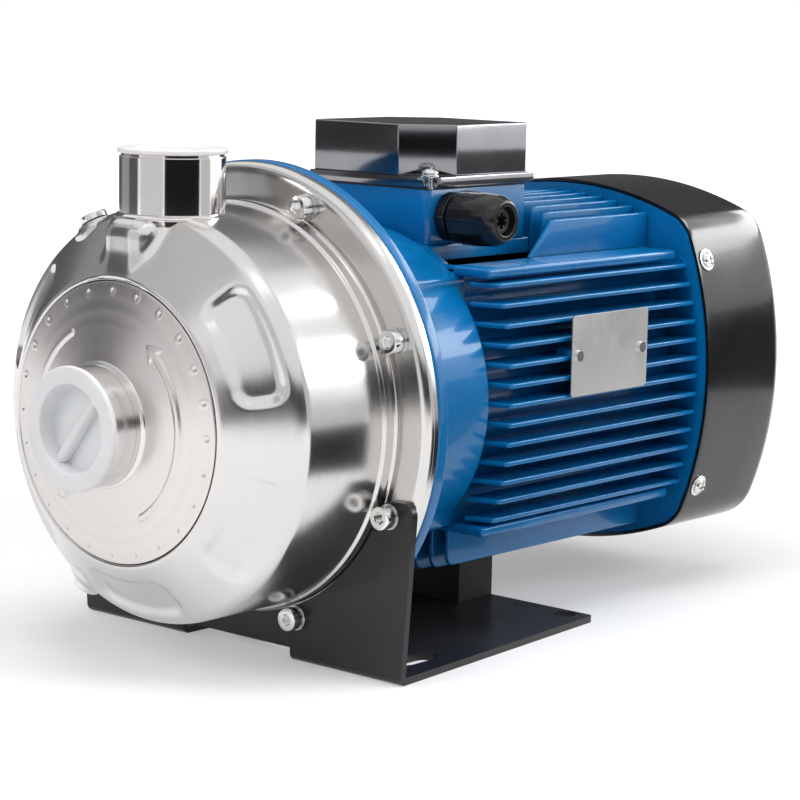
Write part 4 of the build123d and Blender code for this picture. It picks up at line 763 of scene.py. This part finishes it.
def makeBolts():
    heads, rings, springs = bmesh.new(), bmesh.new(), bmesh.new()
    half, end, under = screws["boltHalf"], screws["boltEnd"], screws["washer"] + screws["spring"]
    hole = half + screws["clearance"]
    for number in range(screws["bolts"]):
        angle = radians(360 / screws["bolts"] * (number + 0.5))
        y, z = screws["boltR"] * cos(angle), screws["boltR"] * sin(angle)
        # The lower bolts also hold the bracket's upright
        seat = screws["bracketFace"] if z < screws["bracketTop"] else screws["flangeFace"]
        out = axisTurn((seat, y, z), (-1, 0, 0)) @ Matrix.Rotation(number * 0.7, 4, "X")
        socketHead(heads, outward(out, under), screws)
        start = seat - under - 0.1
        shank = [(start, 0), (start, half), (end, half), (end, 0)]
        turned(heads, shank, None, 32, Matrix.Translation((0, y, z)))
        washerRing(rings, out, hole, screws["washerR"], screws["washer"])
        washerRing(springs, outward(out, screws["washer"]), hole, screws["springR"], screws["spring"], True)
    finishPiece("casingBoltSet", heads, "bolt_steel", "casing_bolts")
    dull = finishes["machined_steel"]
    finishPiece("boltWasherSet", rings, "bolt_steel", "bolt_washers", finish=dull)
    finishPiece("springWasherSet", springs, "bolt_steel", "spring_washers", finish=dull)
    for up, body in ((1, "vent_plug"), (-1, "drain_plug")):
        part = bmesh.new()
        spot = outward(plugSeat(up), plugs["washer"])
        socketHead(part, spot, plugs)
        turned(part, [(-9, 0), (-9, 4.5), (-8.4, 5.0), (0.05, 5.0), (0.05, 0)], None, 48, spot)
        finishPiece(body + "_turned", part, "bolt_steel", body, body)
    print("bolts and plugs made")


makeBolts()


# Motor housing: flange, flared bell, corner blocks, a finned barrel and its rear ring
motor = {
    "finPitch": 9.85, "finSheet": 2.4, "topPitch": 10.4, "half": 95.0, "arcR": 190.0, "back": 247.0,
    "coreY": 60.5, "coreZ": 67.7, "ledgeY": 82.0, "ledge": 5.2, "ledgeEnd": 241.0, "front": 80.0,
    "finRoot": 70.0, "mouthHalf": 99.0, "mouthArcR": 198.0, "ringR": 76.0, "ring": 4.0,
    "plateScrews": (136.0, 190.0), "plateZ": 20.95,
}


def reach(across, half, arcR):
    # How far the bulging side stands from the shaft, at a distance across
    return half - arcR + sqrt(arcR ** 2 - across ** 2)


def makeMotor():
    part = bmesh.new()
    bell = [
        (0, 90), (0, 119.6), (7, 119.6), (7, 100), (34, 83), (80, 85), (80, 70.2), (48, 70.2), (42, 74),
        (30, 74), (8, 90),
    ]
    turned(part, bell, [0, 1.0, 1.2, 3.5, 14, 1.6, 0, 0, 0, 0, 0], steps=192)
    turned(part, [(78, 70.2), (78, 77), (246, 77), (246, 70.2)], None, steps=96)
    roof = [(8, 82.4), (38, 75.7), (62, 62), (63, 52), (63, -54.5), (60, -65.5)]
    roof += [(-y, z) for y, z in reversed(roof)]
    slab(part, roof, 79, onCross(7), (1, 0, 0), [3, 3, 3, 2, 3, 3, 3, 3, 2, 3, 3, 3], bevel=1.2)
    front, coreY, coreZ, ledgeY = (motor[key] for key in ("front", "coreY", "coreZ", "ledgeY"))
    for up in (1, -1):
        side = [(-coreY, up * coreZ), (coreY, up * coreZ), (coreY, up * 45), (-coreY, up * 45)]
        slab(part, side, 166, onCross(front), (1, 0, 0), bevel=1.0)
    for up in (1, -1):
        low, high = sorted((up * (coreZ - motor["ledge"]), up * coreZ))
        brick(part, (front, -ledgeY, low), (motor["ledgeEnd"], ledgeY, high), 1.9, 4)
    # Side fins, cut back at an angle beside the bell
    sheet, back, root = motor["finSheet"], motor["back"], motor["finRoot"]
    for number in range(13):
        height = motor["finPitch"] * (number - 6)
        tip = reach(height, motor["half"], motor["arcR"])
        for hand in (1, -1):
            inner, outer = hand * root, hand * tip
            outline = [(front, inner), (front + 4.6, outer), (back, outer), (back, inner)]
            lift = onLevel(height - sheet / 2)
            slab(part, outline, sheet, lift, (0, 0, 1), [0, 2.0, 1.5, 0], bevel=0.75, segments=3)
    # Top and bottom fins
    for number in range(6):
        across = motor["topPitch"] * (number + 0.5)
        tip = reach(across, motor["half"], motor["arcR"])
        starts = {4: (167, 167), 5: (143, 162)}.get(number, (170, 170))
        for hand in (1, -1):
            lift = onSide(hand * across - sheet / 2)
            upper, rounds = [(starts[0], 62), (starts[1], tip), (back, tip), (back, 62)], [0, 5, 1.5, 0]
            if starts[0] != starts[1]:
                upper.insert(1, (starts[0], coreZ))
                rounds.insert(1, 1)
            slab(part, upper, sheet, lift, (0, 1, 0), rounds, bevel=0.75, segments=3)
            lower = [(82, -62), (82, -tip), (back, -tip), (back, -62)]
            slab(part, lower, sheet, lift, (0, 1, 0), [0, 5, 1.5, 0], bevel=0.75, segments=3)
    # Rear ring inside the mouth of the fan cover
    outline = []
    for quarter in range(4):
        for across in range(-77, 78, 11):
            tip = reach(across, motor["mouthHalf"], motor["mouthArcR"])
            turn = Matrix.Rotation(quarter * pi / 2, 2)
            outline.append(tuple(turn @ Vector((tip, across))))
    ring = bmesh.new()
    outlined(ring, outline, None, onCross(back))
    made = bmesh.ops.extrude_edge_only(ring, edges=ring.edges[:])
    for vert in newVerts(made):
        vert.co.yz = vert.co.yz.normalized() * motor["ringR"]
    made = bmesh.ops.extrude_face_region(ring, geom=ring.faces[:])
    bmesh.ops.translate(ring, verts=newVerts(made), vec=(motor["ring"], 0, 0))
    gather(part, ring)
    # Seat of the terminal box
    brick(part, (83.5, -38, 60), (168, 38, 75.7), 1.2, 3)
    for station in motor["plateScrews"]:
        peg = [(85, 0), (85, 3.4), (96.15, 3.0), (96.15, 0)]
        turned(part, peg, [0, 0, 0.3, 0], 32, axisTurn((station, 0, motor["plateZ"]), (0, -1, 0)))
    finishPiece("motorCasting", part, "blue_paint", "motor_housing", angle=35)
    print("motor made")


makeMotor()


# Fan cover: a deep hood of bulging square form with rings of air slots
hood = {
    "front": 248.0, "back": 324.0, "half": 101.0, "arcR": 200.0, "cornerR": 25.0, "sheet": 1.5,
    "round": 12.0, "steps": 360, "slots": 5, "slotR": 26.0, "slotPitch": 11.0, "slotWidth": 6.0,
    "slotTurn": 60, "slotSpan": 44, "screwX": 256.0, "screwZ": 62.0,
}


def hoodRadius(angle, inset=0.0):
    # Distance from the shaft to the bulging square outline of side arcs and corner fillets
    half, arcR, cornerR = hood["half"] - inset, hood["arcR"] - inset, hood["cornerR"] - inset
    core = half - arcR
    # Centre of the corner fillet, on the diagonal
    spot = (core + sqrt(2 * (arcR - cornerR) ** 2 - core ** 2)) / 2
    across, along = sorted((abs(cos(angle)), abs(sin(angle))))
    radius = core * along + sqrt(arcR ** 2 - (core * across) ** 2)
    if radius * across * (spot - core) > spot * (radius * along - core):
        radius = spot * (along + across) + sqrt(cornerR ** 2 - (spot * (along - across)) ** 2)
    return radius


def makeHood():
    part = bmesh.new()
    bmesh.ops.create_circle(part, cap_ends=False, segments=hood["steps"], radius=hood["slotR"])
    part.transform(Matrix.Rotation(pi / 2, 4, "Y"))
    bmesh.ops.translate(part, verts=part.verts, vec=(hood["back"], 0, 0))
    edges = part.edges[:]
    bmesh.ops.contextual_create(part, geom=edges)

    def nextRing(edges, station, radiusAt):
        made = bmesh.ops.extrude_edge_only(part, edges=edges)
        for vert in newVerts(made):
            angle = atan2(vert.co.z, vert.co.y)
            radius = radiusAt(angle)
            vert.co = (station, radius * cos(angle), radius * sin(angle))
        return newEdges(made)

    slotBands = []
    for ring in range(hood["slots"]):
        inner = hood["slotR"] + ring * hood["slotPitch"]
        if ring:
            edges = nextRing(edges, hood["back"], lambda angle: inner)
        edges = nextRing(edges, hood["back"], lambda angle: inner + hood["slotWidth"])
        slotBands.append((inner + hood["slotWidth"] / 2, ring * 30))
    bend = hood["round"]
    for degrees in range(0, 91, 10):
        inset = bend * (1 - sin(radians(degrees)))
        station = hood["back"] - bend * (1 - cos(radians(degrees)))
        edges = nextRing(edges, station, lambda angle: hoodRadius(angle, inset))
    for station in (hood["back"] - 30, hood["front"] + 16, hood["front"] + 3, hood["front"]):
        edges = nextRing(edges, station, hoodRadius)

    def inSlot(face):
        middle = face.calc_center_median()
        radius, turnAngle = hypot(middle.y, middle.z), atan2(middle.z, middle.y) * 180 / pi
        return len(face.verts) == 4 and middle.x > hood["back"] - 1 and any(
            abs(radius - slotR) < 1.5 and (turnAngle - offset) % hood["slotTurn"] < hood["slotSpan"]
            for slotR, offset in slotBands
        )

    bmesh.ops.delete(part, geom=[face for face in part.faces if inSlot(face)], context="FACES")
    bmesh.ops.recalc_face_normals(part, faces=part.faces)
    piece = finishPiece("hoodShell", part, "black_paint", "fan_cover", angle=40)
    wall = piece.modifiers.new("wall", "SOLIDIFY")
    wall.thickness = hood["sheet"] * layout["unit"]
    wall.offset = -1
    roundEdges(piece, 0.0004, 50)
    print("fan cover made")


makeHood()


def makeCoverScrews():
    part = bmesh.new()
    for hand in (1, -1):
        for up in (1, -1):
            height = hood["screwZ"]
            tilt = asin(height / hood["arcR"])
            across = reach(height, hood["half"], hood["arcR"])
            way = Vector((0, hand * cos(tilt), up * sin(tilt)))
            spot = axisTurn((hood["screwX"], hand * across, up * height), way)
            washerRing(part, spot, 2.6, 6.0, 0.9)
            panHead(part, outward(spot, 0.9), 4.4, 2.4)
            turned(part, [(-11, 0), (-11, 2.2), (1, 2.2), (1, 0)], None, 24, spot)
    finishPiece("coverScrewSet", part, "bolt_steel", "fan_cover_screws")
    print("cover screws made")


makeCoverScrews()


# Terminal box, gasket and lid
box = {"front": 83.5, "back": 165.5, "half": 38.0, "low": 75.7, "high": 103.8, "gasket": 1.0}
lid = {
    "half": (42.0, 41.4), "flange": 5.2, "hoodHalf": 39.5, "hood": 26.1, "hoodShift": 1.6, "cut": 21.0,
    "notch": 5.2, "notchStart": 9.0, "screwX": 37.4, "screwY": 36.8, "washer": 1.1, "spring": 0.9,
}


def makeBox():
    middle = (box["front"] + box["back"]) / 2
    part = bmesh.new()
    half, low, high = box["half"], box["low"], box["high"]
    outline = [(box["front"], -half), (box["back"], -half), (box["back"], half), (box["front"], half)]
    slab(part, outline, high - low, onLevel(low), (0, 0, 1), [4.2] * 4, bevel=0.5)
    finishPiece("boxBody", part, "blue_paint", "terminal_box")
    part = bmesh.new()
    slab(part, outline, box["gasket"], onLevel(high), (0, 0, 1), [3] * 4)
    finishPiece("boxGasket", part, "black_rubber", "lid_gasket")
    part = bmesh.new()
    # The near and the far corner have an open notch for a screw, and the hood is cut away there
    (halfX, halfY), deep, start = lid["half"], lid["notch"], lid["notchStart"]
    notch = [(start, 0), (deep, 0.1 * deep), (deep + 1.5, deep + 1.0), (0.1 * deep, deep), (0, start)]
    flange = [(middle + halfX, -halfY)] + [(middle - halfX + x, -halfY + y) for x, y in notch]
    flange += [(middle - halfX, halfY)] + [(middle + halfX - x, halfY - y) for x, y in notch]
    foot = high + box["gasket"]
    slab(part, flange, lid["flange"], onLevel(foot), (0, 0, 1), None, bevel=0.5)
    front, back = (middle - lid["hoodShift"] + way * lid["hoodHalf"] for way in (-1, 1))
    side, cut = lid["hoodHalf"], lid["cut"]
    sides = [
        (back, -side), (front + cut, -side), (front, -side + cut), (front, side), (back - cut, side),
        (back, side - cut),
    ]
    level = foot + lid["flange"]
    lift = onLevel(level - 0.1)
    slab(part, sides, lid["hood"], lift, (0, 0, 1), [1.5] * 6, bevel=0.9, segments=3, sharp=40)
    finishPiece("lidMoulding", part, "black_plastic", "terminal_lid", finish=finishes["lid_lacquer"])
    heads, rings = bmesh.new(), bmesh.new()
    for hand in (1, -1):
        x, y = middle + hand * lid["screwX"], hand * lid["screwY"]
        seat = axisTurn((x, y, level), (0, 0, 1))
        washerRing(rings, seat, 2.1, 4.7, lid["washer"])
        washerRing(rings, outward(seat, lid["washer"]), 2.1, 4.0, lid["spring"] + 0.1)
        panHead(heads, outward(seat, lid["washer"] + lid["spring"]), 4.4, 2.0)
        shank = [(104, 0), (104, 2.0), (112.2, 2.0), (112.2, 0)]
        upright = Matrix.Translation((x, y, 0)) @ Matrix.Rotation(-pi / 2, 4, "Y")
        turned(heads, shank, None, 24, upright)
    finishPiece("lidScrewSet", heads, "bolt_steel", "lid_screws")
    finishPiece("lidWasherSet", rings, "bolt_steel", "lid_screw_washers")
    print("terminal box made")


makeBox()


# Cable gland on the near side of the box, modelled outwards from the middle of the box
gland = {"station": 102.0, "height": 89.6, "hexagonR": 13.2, "hexagon": 5.8, "seat": 38.0, "ribs": 12}


def makeGland():
    out = axisTurn((gland["station"], 0, gland["height"]), (0, -1, 0))
    outerR = gland["hexagonR"]
    part = bmesh.new()
    body = [(35, 7.5), (35, 9.8), (38, 9.8), (38, 12.5), (44, 12.5), (44, 10.6), (62, 10.6), (62, 7.5)]
    turned(part, body, [0, 0, 0, 0.5, 0.5, 0, 0, 0], 64, out)
    hexagon = [(outerR * cos(k * pi / 3), outerR * sin(k * pi / 3)) for k in range(6)]
    lift = onCross(gland["seat"])
    slab(part, hexagon, gland["hexagon"], lift, (1, 0, 0), [1.2] * 6, bevel=0.6, turn=out)
    finishPiece("glandBodyMoulding", part, "black_plastic", "gland_body")
    part = bmesh.new()
    nut = [(46, 10.7), (46, 13.4), (62, 13.5), (70, 12.9), (75, 10.2), (75, 7.4), (72, 7.0), (65, 10.7)]
    turned(part, nut, [0, 0.6, 5, 4, 1.6, 0.6, 0, 0], 96, out)
    for number in range(gland["ribs"]):
        angle = number * 2 * pi / gland["ribs"]
        rib = out @ Matrix.Translation((0, outerR * cos(angle), outerR * sin(angle)))
        turned(part, [(47, 0), (47, 0.6), (57, 0.6), (61, 0)], [0, 0.3, 0.3, 0], 12, rib)
    finishPiece("glandNutMoulding", part, "black_plastic", "gland_nut", "gland_nut")
    part = bmesh.new()
    turned(part, [(56, 4), (56, 6.7), (72, 6.7), (72, 4)], [0, 0, 0.6, 0.6], 48, out)
    for number in range(6):
        slit = out @ Matrix.Rotation(number * pi / 3, 4, "X")
        brick(part, (70.5, 2.6, -0.5), (71.8, 5.5, 0.5), 0.2, 2, slit)
    finishPiece("glandSealInsert", part, "black_rubber", "gland_seal")
    print("gland made")


makeGland()


# CAD solids with flat faces, softened along their edges
def soften(node, name, width, slotName):
    part = bmesh.new()
    part.from_mesh(frame["nodes"][node].data)
    bmesh.ops.remove_doubles(part, verts=part.verts, dist=0.00001)
    bmesh.ops.dissolve_limit(part, angle_limit=radians(1), verts=part.verts, edges=part.edges)
    part.transform(place.inverted())
    piece = finishPiece(name, part, slotName, node, angle=30)
    roundEdges(piece, width, 30).harden_normals = True
    return piece


soften("base_bracket", "bentBase", 0.0005, "black_paint").data.materials[0] = finishes["base_paint"]
soften("foot_block", "footPad", 0.0008, "black_rubber")
soften("nameplate", "barePlate", 0.00015, "aluminium")
soften("seal_plate", "sealDisc", 0.0004, "drawn_steel")
print("softened pieces made")


# Studio
studio = {
    "floor": (0.68, 0.68, 0.68), "camera": (-1.0595, -0.8778, 0.3188), "azimuth": -49.25, "elevation": 8.75,
    "roll": 1.14, "lens": 116.3, "sky": 0.42, "glow": (0.32, 0.92), "glowSpan": (0.4, 2.0),
    "lamps": {
        "topLamp": ((-0.25, -0.25, 1.5), (0, 0, 0.1), 1.2, 0.8, 15),
        "leftLamp": ((-1.3, 0.2, 0.9), (-0.15, 0, 0.12), 0.8, 0.8, 5),
        "nearLamp": ((0.7, -1.4, 1.0), (0.05, 0, 0.12), 0.9, 0.7, 10),
    },
    # Cards that only reflections see: azimuth from and to, foot, top, distance, brightness
    "cards": {
        "nearCurtain": (-63, 11, 0.1, 0.42, 0.95, 0.0),
        "farCurtain": (-148, -122, 0.1, 1.3, 1.3, 0.1),
        "farGrey": (-180, -148, 0.12, 1.3, 1.3, 0.32),
        "farOver": (180, 100, 0.12, 1.0, 1.3, 0.1),
        "leftBox": (-115, -66, 0.1, 0.75, 1.1, 0.7),
        "rightGrey": (14, 40, 0.05, 0.5, 0.9, 0.6),
        "rightBox": (40, 80, 0.1, 0.36, 0.9, 1.5),
        "rightTop": (40, 95, 0.36, 0.56, 0.9, 8.0),
        "rightCloth": (12, 50, 0.0, 0.105, 0.3, 0.0),
        "hoodShade": (42, 77, 0.0, 0.2, 0.85, 0.15),
        "topEdge": (86, 128, 0.56, 1.3, 1.1, 0.15),
        "topLeft": (-165, -84, 0.8, 1.6, 0.9, 0.6),
        "topStrip": (62, 86, 0.74, 0.92, 0.95, 7.0),
    },
    "overhead": {"spot": (-0.15, -0.45, 1.25), "size": (1.1, 0.28), "brightness": 1.6},
}


def makeCards():
    for name, (start, end, foot, top, distance, brightness) in studio["cards"].items():
        part = bmesh.new()
        vert = part.verts.new((distance * sin(radians(start)), -distance * cos(radians(start)), foot))
        bmesh.ops.spin(
            part, geom=[vert], cent=(0, 0, foot), axis=(0, 0, 1), angle=radians(end - start), steps=24,
        )
        made = bmesh.ops.extrude_edge_only(part, edges=part.edges[:])
        bmesh.ops.translate(part, verts=newVerts(made), vec=(0, 0, top - foot))
        bmesh.ops.translate(part, verts=part.verts, vec=(layout["jointX"], 0, 0))
        addCard(name, part, brightness)
    part = bmesh.new()
    bmesh.ops.create_grid(part, x_segments=1, y_segments=1, size=0.5)
    bmesh.ops.scale(part, verts=part.verts, vec=(*studio["overhead"]["size"], 1))
    bmesh.ops.translate(part, verts=part.verts, vec=studio["overhead"]["spot"])
    addCard("overheadBox", part, studio["overhead"]["brightness"])


def addCard(name, part, brightness):
    # A card in the studio that only reflections see
    cloth = Finish(
        name + "Cloth", Base_Color=(0.01, 0.01, 0.01, 1), Roughness=1.0, Specular_IOR_Level=0.0,
        Emission_Color=(1, 1, 1, 1), Emission_Strength=brightness,
    )
    card = addObject(name, part, cloth.material)
    card.visible_camera = card.visible_diffuse = card.visible_shadow = card.visible_transmission = False


def makeStudio():
    finish = Finish("floorPaper", Base_Color=(*studio["floor"], 1), Roughness=0.9, Emission_Strength=1.0)
    grain = finish.noise(60, 3)
    distance = finish.radiusFrom((layout["jointX"], 0, 0), 2)
    glow = finish.fit(distance, *studio["glowSpan"], *studio["glow"]) * finish.seenRays()
    finish.drive(
        Roughness=finish.fit(grain, 0.3, 0.7, 0.85, 0.95),
        Emission_Color=finish.between(glow, (0, 0, 0), (1, 1, 1)),
    )
    part = bmesh.new()
    bmesh.ops.create_grid(part, x_segments=1, y_segments=1, size=6)
    addObject("studioFloor", part, finish.material)
    makeCards()

    world = bpy.data.worlds.new("studioWorld")
    bpy.context.scene.world = world
    world.use_nodes = True
    sky = Nodes(world.node_tree)
    background = sky.tree.nodes["Background"]
    background.inputs["Color"].default_value = (1, 1, 1, 1)
    inputs = {"Value": sky.seenRays(), "To Min": studio["sky"], "To Max": 1.0}
    level = sky.node("ShaderNodeMapRange", {}, inputs)
    sky.tree.links.new(level.socket, background.inputs["Strength"])

    for name, (spot, aim, width, height, power) in studio["lamps"].items():
        light = bpy.data.lights.new(name, "AREA")
        light.shape = "RECTANGLE"
        light.size, light.size_y, light.energy = width, height, power
        lamp = bpy.data.objects.new(name, light)
        lamp.location = spot
        lamp.rotation_euler = (Vector(aim) - Vector(spot)).to_track_quat("-Z", "Y").to_euler()
        lamp.visible_glossy = False
        bpy.context.scene.collection.objects.link(lamp)

    azimuth, elevation, roll = (radians(studio[key]) for key in ("azimuth", "elevation", "roll"))
    facing = Matrix.Rotation(azimuth, 4, "Z") @ Matrix.Rotation(pi / 2 - elevation, 4, "X")
    data = bpy.data.cameras.new("photoCamera")
    data.lens = studio["lens"]
    data.sensor_width = 36
    camera = bpy.data.objects.new("photoCamera", data)
    camera.matrix_world = Matrix.Translation(studio["camera"]) @ facing @ Matrix.Rotation(roll, 4, "Z")
    bpy.context.scene.collection.objects.link(camera)
    bpy.context.scene.camera = camera
    bpy.context.scene.view_settings.view_transform = "Standard"
    print("studio made")


makeStudio()
